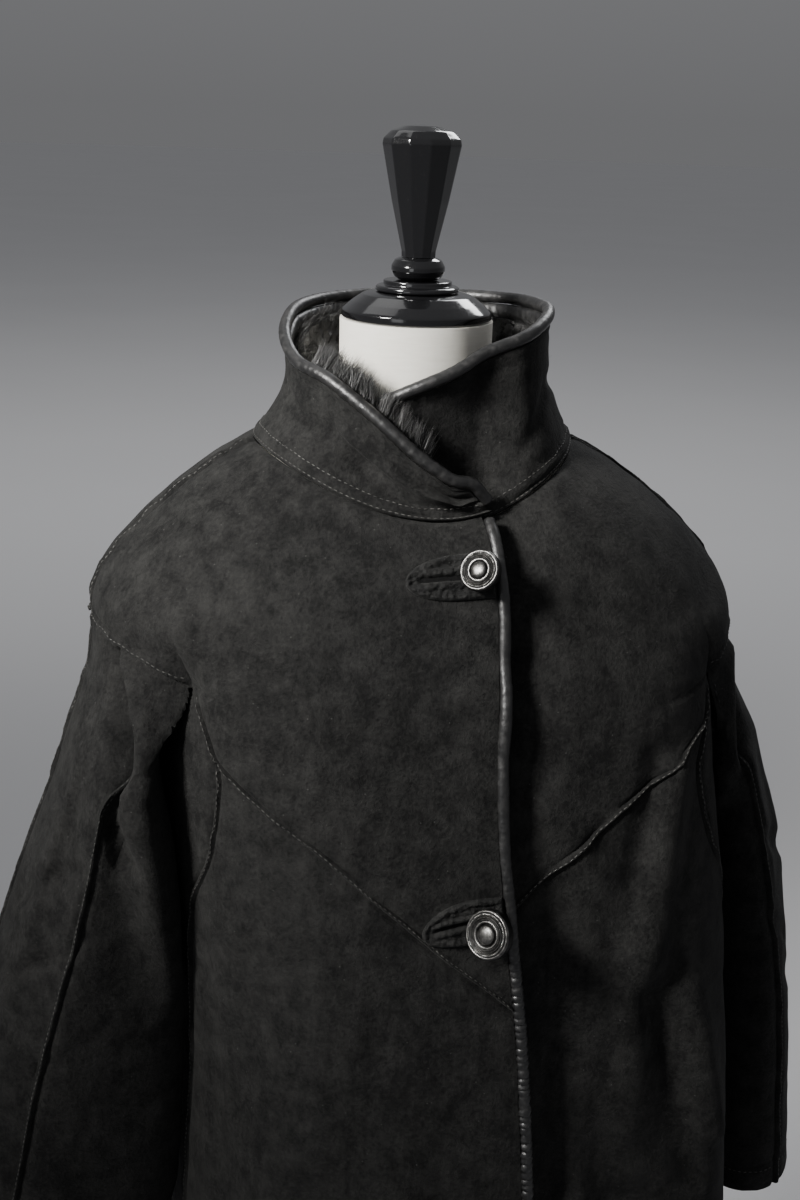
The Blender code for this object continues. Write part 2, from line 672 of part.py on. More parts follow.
def make_front_lower(side, material):
    places = []
    for r in range(LOWER_ROWS + 1):
        for c in range(CHEST_COLUMNS + 1):
            share = c / CHEST_COLUMNS
            top = chest_seam(share, side)
            drop = top + (hem_drop(90) - top) * r / LOWER_ROWS
            turn = chest_turn(share, drop, side)
            drop = top + (hem_drop(turn) - top) * r / LOWER_ROWS
            places.append(coat_place(chest_turn(share, drop, side), drop, side, on_trunk=share == 1))
    return shell_from_grid("front_lower_" + side_name(side), places,
                           grid_quads(CHEST_COLUMNS, LOWER_ROWS), material)


def side_edge(side, name):
    """(turn, drop) of one edge of a side panel, at the rows of the yoke and of the lower panel beside it."""
    front = name == "front_turn"
    seam = chest_seam(1.0, side) if front else back_seam(0.0)
    drops = [1 + (seam - 1) * r / YOKE_ROWS for r in range(YOKE_ROWS)]
    for r in range(LOWER_ROWS + 1):
        drop = seam + (hem_drop(90) - seam) * r / LOWER_ROWS
        turn = side_turn(drop, side, name)
        drops.append(seam + (hem_drop(turn) - seam) * r / LOWER_ROWS)
    return [(side_turn(drop, side, name), drop) for drop in drops]


def make_side_panel(side, material):
    places = []
    front_edge = side_edge(side, "front_turn")
    back_edge = side_edge(side, "back_turn")
    rows = len(front_edge) - 1
    for r in range(rows + 1):
        front, front_drop = front_edge[r]
        back, back_drop = back_edge[r]
        front_z = cap_height(front) + 1 - front_drop
        back_z = cap_height(back) + 1 - back_drop
        for c in range(SIDE_COLUMNS + 1):
            share = c / SIDE_COLUMNS
            turn = front + (back - front) * share
            dip = UNDERARM_DIP * math.sin(math.pi * share) * (1 - r / rows) ** DIP_POWER
            z = front_z + (back_z - front_z) * share - dip
            if r == 0:
                z = underarm_z(turn)
            places.append(coat_place(turn, drop_at(turn, z), 0, on_trunk=True))
    return shell_from_grid("side_" + side_name(side), places, grid_quads(SIDE_COLUMNS, rows), material)


def back_turn(share, drop):
    left = side_turn(drop, 1, "back_turn")
    right = side_turn(drop, -1, "back_turn") + 360
    return left + (right - left) * share


def back_seam(share):
    drop = 1.0
    for _ in range(SEAM_ROUNDS):
        drop = back_yoke_drop(back_turn(share, drop))
    return drop


def make_back_yoke(material):
    places = []
    quads = []
    width = BACK_COLUMNS + 1
    rows = CAPE_ROWS + YOKE_ROWS
    for r in range(rows + 1):
        for c in range(width):
            share = c / BACK_COLUMNS
            drop = r / CAPE_ROWS if r <= CAPE_ROWS else 1 + (back_seam(share) - 1) * (r - CAPE_ROWS) / YOKE_ROWS
            at_edge = c in (0, BACK_COLUMNS) and drop >= 1
            places.append(coat_place(back_turn(share, drop), drop, 0, on_trunk=at_edge))
    quads += grid_quads(BACK_COLUMNS, rows)
    for side in (1, -1):
        first = len(places)
        edge = 0 if side > 0 else BACK_COLUMNS
        for r in range(CAPE_ROWS + 1):
            for c in range(1, ARM_COLUMNS + 1):
                turn = side * (ARM_BACK_TURN + (SHOULDER_TURN - ARM_BACK_TURN) * c / ARM_COLUMNS)
                places.append(coat_place(turn, r / CAPE_ROWS, 0))
        for r in range(CAPE_ROWS):
            for c in range(ARM_COLUMNS):
                near = [r * width + edge, (r + 1) * width + edge]
                if c > 0:
                    near = [first + r * ARM_COLUMNS + c - 1, first + (r + 1) * ARM_COLUMNS + c - 1]
                corner = (near[0], first + r * ARM_COLUMNS + c, first + (r + 1) * ARM_COLUMNS + c, near[1])
                quads.append(corner if side < 0 else corner[::-1])
    return shell_from_grid("back_yoke", places, quads, material)


def make_back_lower(material):
    places = []
    for r in range(LOWER_ROWS + 1):
        for c in range(BACK_COLUMNS + 1):
            share = c / BACK_COLUMNS
            top = back_seam(share)
            drop = top + (hem_drop(90) - top) * r / LOWER_ROWS
            turn = back_turn(share, drop)
            drop = top + (hem_drop(turn) - top) * r / LOWER_ROWS
            places.append(coat_place(back_turn(share, drop), drop, 0, on_trunk=c in (0, BACK_COLUMNS)))
    return shell_from_grid("back_lower", places, grid_quads(BACK_COLUMNS, LOWER_ROWS), material)


# ---- sleeves ----

def underarm_z(turn):
    """Height of the armhole's lower edge, between its front and its back."""
    share = (abs(turn) - ARM_FRONT_TURN) / (ARM_BACK_TURN - ARM_FRONT_TURN)
    ends = cap_height(ARM_FRONT_TURN) + (cap_height(ARM_BACK_TURN) - cap_height(ARM_FRONT_TURN)) * share
    return ends - UNDERARM_DIP * math.sin(math.pi * share)


def sleeve_top(angle, side):
    """The top edge: over the outside it follows the yoke, and on the inside the underarm."""
    span = ARM_BACK_TURN - ARM_FRONT_TURN
    angle = angle % 360
    if angle <= 180:
        turn = side * (ARM_FRONT_TURN + span * angle / 180)
        point, normal = coat_place(turn, 1.0, 0)
        return point + normal * UNDERARM_GAP * bump(90 - abs(angle - 90), CORNER_ANGLE) - SLEEVE_DROP
    turn = side * (ARM_BACK_TURN - span * (angle - 180) / 180)
    z = underarm_z(turn)
    point = trunk_point(turn, z)
    return point + shell_normal(turn, drop_at(turn, z), True) * np.array([1, 1, 0]) * UNDERARM_GAP - SLEEVE_DROP


def sleeve_point(angle, share, side):
    """Angle 0 is the front, 90 the outside, 180 the back and 270 the side next to the body."""
    name = side_name(side)
    top = sleeve_top(angle, side)
    zs = column(SLEEVE_RINGS, "z")
    z = top[2] + (CUFF_Z - top[2]) * share
    outer = side * curve_through(zs, column(SLEEVE_RINGS, "outer_" + name), z)
    inner = side * curve_through(zs, column(SLEEVE_RINGS, "inner_" + name), z)
    front = curve_through(zs, column(SLEEVE_RINGS, "front_y"), z)
    back = curve_through(zs, column(SLEEVE_RINGS, "back_y"), z)
    middle = (outer + inner) / 2
    s = math.sin(math.radians(angle))
    c = math.cos(math.radians(angle))
    x = middle + (outer - middle) * s
    y = (front + back) / 2 - (back - front) / 2 * c
    for fold in SLEEVE_FOLDS:
        if fold.side != name:
            continue
        along = (fold.top_z - z) / (fold.top_z - fold.bottom_z)
        if 0 < along < 1:
            strength = bump(wrap(angle - fold.angle), fold.half_angle)
            strength *= smooth(0, FOLD_RISE, along) * smooth(1, FOLD_FALL, along)
            y -= fold.forward * strength
            x -= side * fold.inward * strength
    if c > 0:
        zs = column(SLEEVE_COLUMN, "z")
        place, half_width, forward = [curve_through(zs, column(SLEEVE_COLUMN, name), z)
                                      for name in ColumnPoint._fields[1:]]
        y -= forward * bump(side * x - place - (COLUMN_LEFT if side > 0 else 0), half_width)
    settle = smooth(0.0, SLEEVE_SETTLE, top[2] - z)
    x = top[0] + (x - top[0]) * settle
    y = top[1] + (y - top[1]) * settle
    if share > 0:
        x, y = clear_of_trunk(x, y, z, UNDERARM_GAP + SLEEVE_CLEARANCE * smooth(0.0, SLEEVE_SETTLE / 2, top[2] - z))
    tilt = CUFF_TILT * smooth(TILT_FROM, 1.0, share)
    return np.array([x, y, z + side * (x - middle) * tilt])


def clear_of_trunk(x, y, z, clearance):
    """Moves a point straight outward until it lies this far outside the trunk."""
    sway = trunk_values(z)[-1]
    surface = trunk_point(math.degrees(math.atan2(x - sway, -y)), z)
    reach = math.hypot(surface[0] - sway, surface[1]) + clearance
    scale = max(reach / math.hypot(x - sway, y), 1.0)
    return sway + (x - sway) * scale, y * scale


def sleeve_normal(angle, share, side):
    """The mean of the surface's directions on the four sides of a place, because the folds are sharp."""
    here = sleeve_point(angle, share, side)
    total = np.zeros(3)
    for way in (-1, 1):
        around = (sleeve_point(angle + way * ANGLE_STEP, share, side) - here) * way
        for downward in (-1, 1):
            down = (sleeve_point(angle, max(share + downward * SHARE_STEP, 0.0), side) - here) * downward
            total += unit(np.cross(down, around))
    normal = unit(total) * side
    return unit(normal * np.array([1, 1, smooth(0.0, SLEEVE_TOP_SHARE, share)]))


def sleeve_seam_angle(share):
    return curve_through(column(SLEEVE_SEAM, "share"), column(SLEEVE_SEAM, "angle"), share)


def corner_line_angle(share):
    return 360 - ARMPIT_TURN * smooth(0.0, ARMPIT_SHARE, share)


def sleeve_place(angle, share, side):
    point = sleeve_point(angle, share, side)
    normal = sleeve_normal(angle, share, side)
    if share == 0 and 0.01 < angle % 360 < 179.99:
        turn = side * (ARM_FRONT_TURN + (ARM_BACK_TURN - ARM_FRONT_TURN) * (angle % 360) / 180)
        normal = coat_place(turn, 1.0, 0)[1]
    return point, normal


def make_sleeve(side, part, material):
    """The front panel reaches from the front seam to the overarm seam, and the back panel has the rest."""
    places = []
    half = ARM_COLUMNS
    columns = half if part == "front" else half + UNDERARM_COLUMNS + FOLD_COLUMNS
    for r in range(SLEEVE_ROWS + 1):
        share = r / SLEEVE_ROWS
        seam = sleeve_seam_angle(share)
        corner = corner_line_angle(share)
        for c in range(columns + 1):
            if part == "front":
                angle = seam + (90 - seam) * c / half
            elif c <= half:
                angle = 90 + 90 * c / half
            elif c <= half + UNDERARM_COLUMNS:
                angle = 180 + (corner - 180) * (c - half) / UNDERARM_COLUMNS
            else:
                angle = corner + (360 + seam - corner) * (c - half - UNDERARM_COLUMNS) / FOLD_COLUMNS
            places.append(sleeve_place(angle, share, side))
    return shell_from_grid("sleeve_" + side_name(side) + "_" + part, places,
                           grid_quads(columns, SLEEVE_ROWS), material, inset=SEAM_GAP)


# ---- collar ----

def collar_point(turn, height):
    """A point of the collar's outer surface: height 0 at the seam, 1 at the edge."""
    turns = column(COLLAR_ROWS, "turn")
    edge_z = curve_through(turns, column(COLLAR_ROWS, "edge_z"), turn)
    edge_radius = curve_through(turns, column(COLLAR_ROWS, "edge_radius"), turn)
    base = coat_place(turn, 0.0, 1 if turn < -180 else -1)[0] + np.array([0, 0, SEAM_GAP])
    s = math.sin(math.radians(turn))
    c = math.cos(math.radians(turn))
    edge = np.array([edge_radius * s, -edge_radius * c, edge_z - BINDING_RADIUS])
    point = base + (edge - base) * height
    outward = unit(np.array([point[0], point[1], 0]))
    tall = np.linalg.norm(edge - base) / COLLAR_HEIGHT
    inward = curve_through(turns, column(COLLAR_ROWS, "pinch"), turn) * math.sin(math.pi * height) * tall
    inward += COLLAR_UNDER_DROP * smooth(*COLLAR_UNDER_TURNS, turn) * smooth(0.0, COLLAR_UNDER_SHARE, height)
    for dent in COLLAR_DENTS:
        inward += dent.depth * bump(turn - dent.turn, dent.half_angle) * bump(height - dent.height, dent.half_height)
    return point - outward * inward


def collar_normal(turn, height):
    around = collar_point(turn + TURN_STEP, height) - collar_point(turn - TURN_STEP, height)
    up = collar_point(turn, min(height + DROP_STEP, 1)) - collar_point(turn, max(height - DROP_STEP, 0))
    return unit(np.cross(around, up))


def collar_turns(height):
    first = COLLAR_FOOT_TURN + (COLLAR_ROWS[0].turn - COLLAR_FOOT_TURN) * height
    last = COLLAR_ROWS[-1].turn
    return [first + (last - first) * c / COLLAR_COLUMNS for c in range(COLLAR_COLUMNS + 1)]


def make_collar(material):
    places = []
    for r in range(COLLAR_LEVELS + 1):
        height = r / COLLAR_LEVELS
        for turn in collar_turns(height):
            places.append((collar_point(turn, height), collar_normal(turn, height)))
    return shell_from_grid("collar", places, grid_quads(COLLAR_COLUMNS, COLLAR_LEVELS), material)


def make_collar_fur(material):
    """The fur's reach: a solid lining inside the collar. It stops short of the collar's overlapping ends."""
    places = []
    for r in range(FUR_FIRST_LEVEL, COLLAR_LEVELS + 1):
        height = r / COLLAR_LEVELS
        for turn in collar_turns(height):
            normal = collar_normal(turn, height)
            places.append((collar_point(turn, height) - normal * (WALL + FUR_GAP), normal))
    quads = [quad for i, quad in enumerate(grid_quads(COLLAR_COLUMNS, COLLAR_LEVELS - FUR_FIRST_LEVEL))
             if FUR_SHORT_BY <= i % COLLAR_COLUMNS < COLLAR_COLUMNS - FUR_SHORT_BY]
    return shell_from_grid("collar_fur", places, quads, material, wall=FUR_DEPTH, inset=FUR_GAP)


def make_collar_binding(material):
    """Up the slanted outer end, then along the whole upper edge, beside the wall's middle."""
    foot, corner = COLLAR_FOOT_TURN, COLLAR_ROWS[0].turn
    path = [(foot + (corner - foot) * height, height) for height in BINDING_FOOT]
    path += [(turn, 1.0) for turn in collar_turns(1.0)]
    rims = [collar_point(*place) for place in path]
    points = []
    for i, place in enumerate(path):
        normal = collar_normal(*place)
        before = unit(rims[i] - rims[max(i - 1, 0)])
        after = unit(rims[min(i + 1, len(rims) - 1)] - rims[i])
        along = unit(before + after)
        out = unit(np.cross(along, normal))
        if out[2] < 0:
            out = -out
        miter = max(np.dot(along, after), np.dot(along, before), LEAST_MITER)
        points.append(rims[i] - normal * WALL / 2 + out * (BINDING_RADIUS + SEAM_GAP) / miter)
    return tube("collar_binding", points, BINDING_RADIUS, material)


# ---- front binding, patches and buttons ----

def make_front_binding(material):
    """From just under the collar seam to just over the hem, along the right front's edge."""
    points = []
    for i in range(BINDING_STEPS + 1):
        drop = BINDING_FROM + (hem_drop(0) - BINDING_SHORT_BY - BINDING_FROM) * i / BINDING_STEPS
        inner_turn = turn_at(lap_reach(drop) - 2 * BINDING_RADIUS, drop)
        point, normal = coat_place(inner_turn, drop, -1)
        across = unit(np.cross(np.array([0.0, 0.0, 1.0]), normal))
        points.append(point + across * (BINDING_RADIUS + SEAM_GAP) - normal * WALL * BINDING_DEPTH)
    return tube("front_binding", points, BINDING_RADIUS, material)


def drop_on_front(z):
    if z <= CAPE_RINGS[-1].front_z:
        return drop_at(0, z)
    return curve_through(column(CAPE_RINGS, "front_z"), column(CAPE_RINGS, "level"), z) / CAPE_RINGS[-1].level


def right_front_place(across, z):
    drop = drop_on_front(z)
    return coat_place(turn_at(across, drop), drop, -1)


def make_patch(place, material):
    """A leaf with its tip toward the wearer's right and its square end at the binding."""
    places = []
    middle = place.z + place.patch_up
    far = lap_reach(drop_on_front(middle)) - 2 * BINDING_RADIUS - PATCH_SHORT_BY
    near = place.offset - place.patch_reach
    for r in range(PATCH_ROWS + 1):
        for c in range(PATCH_COLUMNS + 1):
            share = c / PATCH_COLUMNS
            across = near + (far - near) * share
            half = PATCH_HALF_HEIGHT * smooth(*PATCH_TIP, share)
            z = middle - half + 2 * half * r / PATCH_ROWS
            point, normal = right_front_place(across, z)
            places.append((point + normal * (PATCH_THICKNESS + PATCH_GAP), normal))
    return shell_from_grid("buttonhole_patch_" + place.name, places, grid_quads(PATCH_COLUMNS, PATCH_ROWS),
                           material, wall=PATCH_THICKNESS, inset=0.0)


def make_button(place, material):
    """A turned button: a dome in ridged rings, a deep rim and a shank. It leans to the wearer's right and up."""
    point, normal = right_front_place(place.offset, place.z)
    azimuth = math.atan2(normal[0], -normal[1]) - math.radians(place.lean_side)
    rise = math.asin(normal[2]) + math.radians(place.lean_up)
    axis = np.array([math.sin(azimuth) * math.cos(rise), -math.cos(azimuth) * math.cos(rise), math.sin(rise)])
    lean = math.acos(np.dot(axis, normal))
    top = PATCH_THICKNESS + PATCH_GAP + 2 * SEAM_GAP
    lift = top + place.radius * (RIM_BACK * math.cos(lean) + math.sin(lean))
    shank = (lift - top - place.radius * SHANK_RADIUS * math.sin(lean)) / math.cos(lean)
    profile = [(x * place.radius, y * place.radius) for x, y in BUTTON_FACE]
    profile += [(SHANK_RADIUS * place.radius, -RIM_BACK * place.radius), (SHANK_RADIUS * place.radius, -shank)]
    button = turned("button_" + place.name, profile, material, steps=SMALL_STEPS)
    button.rotation_euler = (math.pi / 2 - rise, 0, azimuth)
    button.location = point + normal * lift
    return button


# ---- the form ----

def make_form_body(material):
    """One smooth lofted solid. Its sections are squarish at the trunk and round at the neck."""
    steps = FORM_STEPS
    zs = column(FORM_RINGS, "z")
    heights = []
    for low, high in zip(zs, zs[1:]):
        parts = 2 if high - low > FORM_ROW else 1
        heights += [low + (high - low) * k / parts for k in range(parts)]
    heights.append(zs[-1])
    vertices = []
    for z in heights:
        values = [curve_through(zs, column(FORM_RINGS, name), z) for name in FormRing._fields[1:]]
        for k in range(steps):
            squareness = FORM_SQUARENESS if z < FORM_ROUND_Z else 2.0
            x, y = ring_offset(360 * k / steps, values[0], *values, squareness)
            vertices.append((x, y, z))
    faces = [(r * steps + k, r * steps + (k + 1) % steps, (r + 1) * steps + (k + 1) % steps, (r + 1) * steps + k)
             for r in range(len(heights) - 1) for k in range(steps)]
    faces.append(tuple(range(steps)))
    faces.append(tuple(range((len(heights) - 1) * steps, len(heights) * steps)))
    return new_object("form_body", vertices, faces, material)


def make_stand(material):
    turned("neck_cap", CAP_PROFILE, material, steps=LARGE_STEPS)
    turned("cap_discs", DISC_PROFILE, material)
    turned("cap_ring", RING_PROFILE, material, steps=SMALL_STEPS)
    turned("handle", HANDLE_PROFILE, material, steps=HANDLE_FLATS)
    pole_top = FORM_RINGS[0].z - SEAM_GAP
    pole_foot = BASE_PROFILE[0][1] + SEAM_GAP
    turned("pole", [(POLE_RADIUS, pole_top), (POLE_RADIUS, pole_foot)], material, steps=SMALL_STEPS)
    turned("base", BASE_PROFILE, material, steps=LARGE_STEPS)


def main():
    global COLLECTION
    for obj in list(bpy.data.objects):
        bpy.data.objects.remove(obj)
    COLLECTION = bpy.data.collections.new("shearling_coat")
    bpy.context.scene.collection.children.link(COLLECTION)
    suede = plain_material("suede", (0.030, 0.030, 0.028), 0.9)
    leather = plain_material("binding_leather", (0.020, 0.020, 0.020), 0.35)
    fur = plain_material("fur", (0.010, 0.010, 0.010), 0.85)
    metal = plain_material("button_metal", (0.42, 0.40, 0.37), 0.35, 1.0)
    linen = plain_material("form_linen", (0.80, 0.79, 0.75), 0.9)
    lacquer = plain_material("black_lacquer", (0.010, 0.010, 0.011), 0.12)
    for side in (-1, 1):
        make_front_yoke(side, suede)
        make_front_lower(side, suede)
        make_side_panel(side, suede)
        make_sleeve(side, "front", suede)
        make_sleeve(side, "back", suede)
    make_back_yoke(suede)
    make_back_lower(suede)
    make_collar(suede)
    make_collar_fur(fur)
    make_collar_binding(leather)
    make_front_binding(leather)
    for place in BUTTONS:
        make_patch(place, suede)
        make_button(place, metal)
    make_form_body(linen)
    make_stand(lacquer)


main()
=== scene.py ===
"""The looks of the shearling coat on its dress form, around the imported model.

Units are metres and +Z is up. The coat's front faces -Y and the wearer's left is at +X.
The coat's surface is worked out from the same rings as its solids. A place on it is given by
  turn: degrees around the trunk, 0 at the front, 90 at the wearer's left, 180 at the back;
  drop: 0 at the collar seam, 1 at the level of the sleeve seams, and one more for each metre below.
The surface functions take numpy arrays. Each panel is a fine grid of places between its seams, with the
height of its seams, creases and unevenness added along the normals, and closed by an inner side.
"""

import math
from collections import namedtuple
from functools import reduce
from itertools import product

import bmesh
import bpy
import numpy as np
from mathutils import Matrix, Vector

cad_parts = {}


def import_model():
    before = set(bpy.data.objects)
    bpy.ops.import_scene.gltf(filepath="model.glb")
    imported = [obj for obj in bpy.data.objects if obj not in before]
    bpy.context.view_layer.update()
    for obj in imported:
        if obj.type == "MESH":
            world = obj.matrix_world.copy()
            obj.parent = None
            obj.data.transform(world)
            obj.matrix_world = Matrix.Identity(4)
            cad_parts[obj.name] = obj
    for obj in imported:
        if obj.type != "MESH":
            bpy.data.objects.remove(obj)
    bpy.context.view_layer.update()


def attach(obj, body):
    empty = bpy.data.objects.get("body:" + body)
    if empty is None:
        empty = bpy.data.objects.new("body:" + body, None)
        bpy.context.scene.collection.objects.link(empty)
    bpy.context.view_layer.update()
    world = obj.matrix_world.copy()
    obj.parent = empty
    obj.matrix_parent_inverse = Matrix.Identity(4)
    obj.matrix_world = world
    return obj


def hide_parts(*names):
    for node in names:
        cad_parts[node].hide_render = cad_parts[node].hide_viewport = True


def table(columns, rows):
    """Rows whose values can be read by the names of their columns."""
    row_kind = namedtuple("Row", columns)
    return [row_kind(*row) for row in rows]


# ---- sizes that the solids have too ----

WALL = 0.004
SEAM_GAP = 0.0003
FUR_GAP = 0.0008
HEM_Z = 0.47
CUFF_Z = 0.715
UNDER_DROP = 0.0085
EDGE_LIFT = 0.004
UNDER_FROM, UNDER_TO = 0.095, 0.040
LIFT_FROM, LIFT_TO, LIFT_DROP = -0.045, 0.036, 0.15
CREASE_FROM = 0.68
SEAM_FLAT = 0.04
SLEEVE_TOP_SHARE = 0.06
TURN_STEP, DROP_STEP = 1.5, 0.02
ANGLE_STEP, SHARE_STEP = 7.0, 0.03
BINDING_RADIUS = 0.0047
UNDERARM_DIP = 0.030
CUFF_TILT = math.tan(math.radians(11.0))
TILT_FROM = 0.2
UNDERARM_GAP = 0.0012
CORNER_ANGLE = 45
SLEEVE_CLEARANCE = 0.004
COLUMN_LEFT = 0.016
ARM_FRONT_TURN = 62.0
ARM_EDGE_NEAR = 0.01      # degrees from an arm's edge at which a place still is on the trunk
ARM_BACK_TURN = 115.0
CAP_POWER = 6
SHOULDER_TURN = 88.5
NECK_RADIUS = 0.0587
BACK_YOKE_SIDE_Z, BACK_YOKE_MIDDLE_Z, BACK_YOKE_BEND = 1.190, 1.085, 1.3
SEAM_ROUNDS = 12
SLEEVE_DROP = 0.0004
ARMPIT_TURN, ARMPIT_SHARE = 45.0, 0.16
FOLD_RISE, FOLD_FALL = 0.25, 0.4
SLEEVE_SETTLE = 0.10
COLLAR_FOOT_TURN = 20
COLLAR_UNDER_DROP, COLLAR_UNDER_TURNS, COLLAR_UNDER_SHARE = 0.0140, (-314, -338), 0.2
COLLAR_HEIGHT = 0.1

CAPE_RINGS = table("level side_z front_z back_z half_width front_depth back_depth squareness", [
    (0.0, 1.402, 1.361, 1.413, 0.126, 0.113, 0.097, 2.0),
    (1.0, 1.377, 1.337, 1.377, 0.168, 0.136, 0.117, 2.05),
    (2.0, 1.338, 1.306, 1.335, 0.216, 0.153, 0.130, 2.15),
    (3.0, 1.300, 1.259, 1.284, 0.247, 0.165, 0.139, 2.3),
    (4.0, 1.268, 1.205, 1.232, 0.258, 0.178, 0.144, 2.4),
])
TRUNK_RINGS = table("z right_width left_width front_depth back_depth squareness sway", [
    (1.260, 0.206, 0.208, 0.172, 0.144, 2.5, 0.006),
    (1.170, 0.212, 0.214, 0.183, 0.147, 2.6, 0.008),
    (1.080, 0.213, 0.222, 0.193, 0.151, 2.6, 0.013),
    (0.950, 0.213, 0.228, 0.201, 0.158, 2.55, 0.026),
    (0.800, 0.221, 0.236, 0.209, 0.169, 2.5, 0.032),
    (0.620, 0.232, 0.246, 0.217, 0.181, 2.45, 0.036),
    (0.470, 0.241, 0.254, 0.223, 0.191, 2.4, 0.039),
])
LAPS = table("drop reach", [
    (0.00, 0.0410),
    (0.30, 0.0405),
    (0.53, 0.0400),
    (0.75, 0.0375),
    (0.98, 0.0335),
    (1.06, 0.0335),
    (1.14, 0.0370),
    (1.24, 0.0380),
    (1.38, 0.0420),
    (1.74, 0.0460),
])
FOLDS = table("turn half_angle start_z full_z depth", [
    (58, 30, 1.36, 1.20, 0.029),
    (-46, 11, 1.02, 0.62, 0.009),
    (-29, 9, 1.00, 0.60, -0.008),
    (-12, 8, 0.95, 0.55, 0.006),
    (30, 9, 1.08, 0.80, -0.007),
    (48, 12, 1.12, 0.86, 0.011),
    (66, 8, 1.05, 0.80, -0.007),
    (100, 12, 1.00, 0.60, 0.006),
    (132, 13, 1.05, 0.62, 0.010),
    (153, 10, 0.98, 0.58, -0.008),
    (176, 12, 1.02, 0.60, 0.008),
    (-157, 11, 1.00, 0.55, -0.009),
    (-134, 12, 1.04, 0.62, 0.010),
    (-96, 13, 0.98, 0.58, 0.005),
])
YOKE_SEAM = table("turn right_z left_z", [
    (-16, 0.975, 0.991),
    (-3, 1.021, 1.036),
    (3, 1.039, 1.053),
    (16, 1.082, 1.093),
    (31, 1.128, 1.134),
    (46, 1.165, 1.178),
    (53, 1.184, 1.198),
    (62, 1.200, 1.212),
])
SIDE_SEAMS = table("z front_turn back_turn", [
    (1.235, 62.0, 115.0),
    (1.185, 53.0, 115.0),
    (1.130, 55.0, 114.0),
    (1.060, 63.0, 113.0),
    (0.950, 71.0, 111.0),
    (0.750, 76.0, 108.0),
    (0.470, 78.0, 106.0),
])
SLEEVE_RINGS = table("z outer_right inner_right outer_left inner_left front_y back_y", [
    (1.268, 0.252, 0.206, 0.264, 0.212, -0.096, 0.078),
    (1.160, 0.276, 0.210, 0.294, 0.228, -0.104, 0.084),
    (1.060, 0.311, 0.205, 0.328, 0.244, -0.102, 0.085),
    (0.950, 0.346, 0.198, 0.348, 0.263, -0.098, 0.080),
    (0.830, 0.378, 0.199, 0.366, 0.277, -0.090, 0.074),
    (0.715, 0.402, 0.216, 0.380, 0.288, -0.082, 0.068),
])
SLEEVE_FOLDS = table("side angle half_angle top_z bottom_z forward inward", [
    ("right", -52, 45, 1.262, 0.400, 0.004, 0.029),
    ("right", 30, 22, 1.215, 0.880, -0.012, 0.0),
    ("right", 150, 30, 1.200, 0.900, -0.010, 0.0),
    ("left", 35, 24, 1.220, 0.900, -0.010, 0.0),
    ("left", 146, 28, 1.190, 0.930, -0.009, 0.0),
])
SLEEVE_SEAM = table("share angle", [
    (0.000, 50.0),
    (0.060, 33.0),
    (0.100, 14.0),
    (0.140, 0.0),
    (0.300, 2.0),
    (0.500, 11.5),
    (0.700, 16.5),
    (1.000, 18.0),
])
SLEEVE_COLUMN = table("z x half_width forward", [
    (1.262, 0.224, 0.030, 0.000),
    (1.225, 0.222, 0.032, 0.020),
    (1.150, 0.216, 0.033, 0.036),
    (1.080, 0.207, 0.032, 0.034),
    (1.000, 0.196, 0.028, 0.016),
    (0.940, 0.190, 0.026, 0.000),
])
COLLAR_ROWS = table("turn edge_z edge_radius pinch", [
    (10, 1.389, 0.111, 0.010),
    (5, 1.388, 0.111, 0.010),
    (-1, 1.395, 0.111, 0.010),
    (-9, 1.405, 0.110, 0.011),
    (-30, 1.437, 0.107, 0.014),
    (-53, 1.459, 0.105, 0.015),
    (-70, 1.464, 0.104, 0.015),
    (-88, 1.477, 0.103, 0.015),
    (-110, 1.492, 0.099, 0.013),
    (-145, 1.497, 0.100, 0.011),
    (-180, 1.499, 0.101, 0.010),
    (-215, 1.500, 0.102, 0.009),
    (-250, 1.502, 0.103, 0.008),
    (-280, 1.502, 0.103, 0.008),
    (-298, 1.498, 0.103, 0.007),
    (-319, 1.487, 0.101, 0.006),
    (-336, 1.476, 0.099, 0.008),
    (-350, 1.465, 0.100, 0.009),
    (-366, 1.455, 0.101, 0.010),
    (-388, 1.440, 0.101, 0.010),
])
COLLAR_DENTS = table("turn half_angle height half_height depth", [
    (-30, 15, 0.35, 0.35, 0.006),
    (8, 9, 0.45, 0.45, 0.004),
])
BUTTONS = table("name offset z radius lean_side lean_up patch_up patch_reach patch_half patch_bend", [
    ("1", 0.0165, 1.3265, 0.0150, 46.0, -5.0, 0.000, 0.051, 0.0140, 0.0030),
    ("2", 0.0110, 1.0775, 0.0183, 50.0, 14.0, 0.003, 0.046, 0.0172, 0.0110),
    ("3", 0.0120, 0.820, 0.0183, 44.0, 12.0, 0.003, 0.045, 0.0165, 0.0080),
])
RIM_BACK = 0.19
SHANK_RADIUS = 0.30
PATCH_THICKNESS = 0.0014
PATCH_GAP = 0.00075
PATCH_SHORT_BY = 0.002
FORM_RINGS = table("z half_width front_depth back_depth", [
    (0.740, 0.163, 0.112, 0.122),
    (0.830, 0.172, 0.118, 0.130),
    (0.930, 0.152, 0.106, 0.110),
    (1.020, 0.128, 0.098, 0.090),
    (1.110, 0.146, 0.112, 0.096),
    (1.200, 0.163, 0.124, 0.104),
    (1.265, 0.178, 0.118, 0.106),
    (1.310, 0.188, 0.106, 0.100),
    (1.340, 0.1900, 0.089, 0.090),
    (1.362, 0.1782, 0.074, 0.080),
    (1.380, 0.1440, 0.065, 0.073),
    (1.400, 0.1060, 0.0615, 0.066),
    (1.422, 0.0760, 0.0595, 0.062),
    (1.450, NECK_RADIUS, NECK_RADIUS, NECK_RADIUS),
    (1.4922, NECK_RADIUS, NECK_RADIUS, NECK_RADIUS),
])
FORM_SQUARENESS, FORM_ROUND_Z = 2.15, 1.40
FORM_ROUND_ABOVE, FORM_ROUND_BELOW = 0.02, 0.04

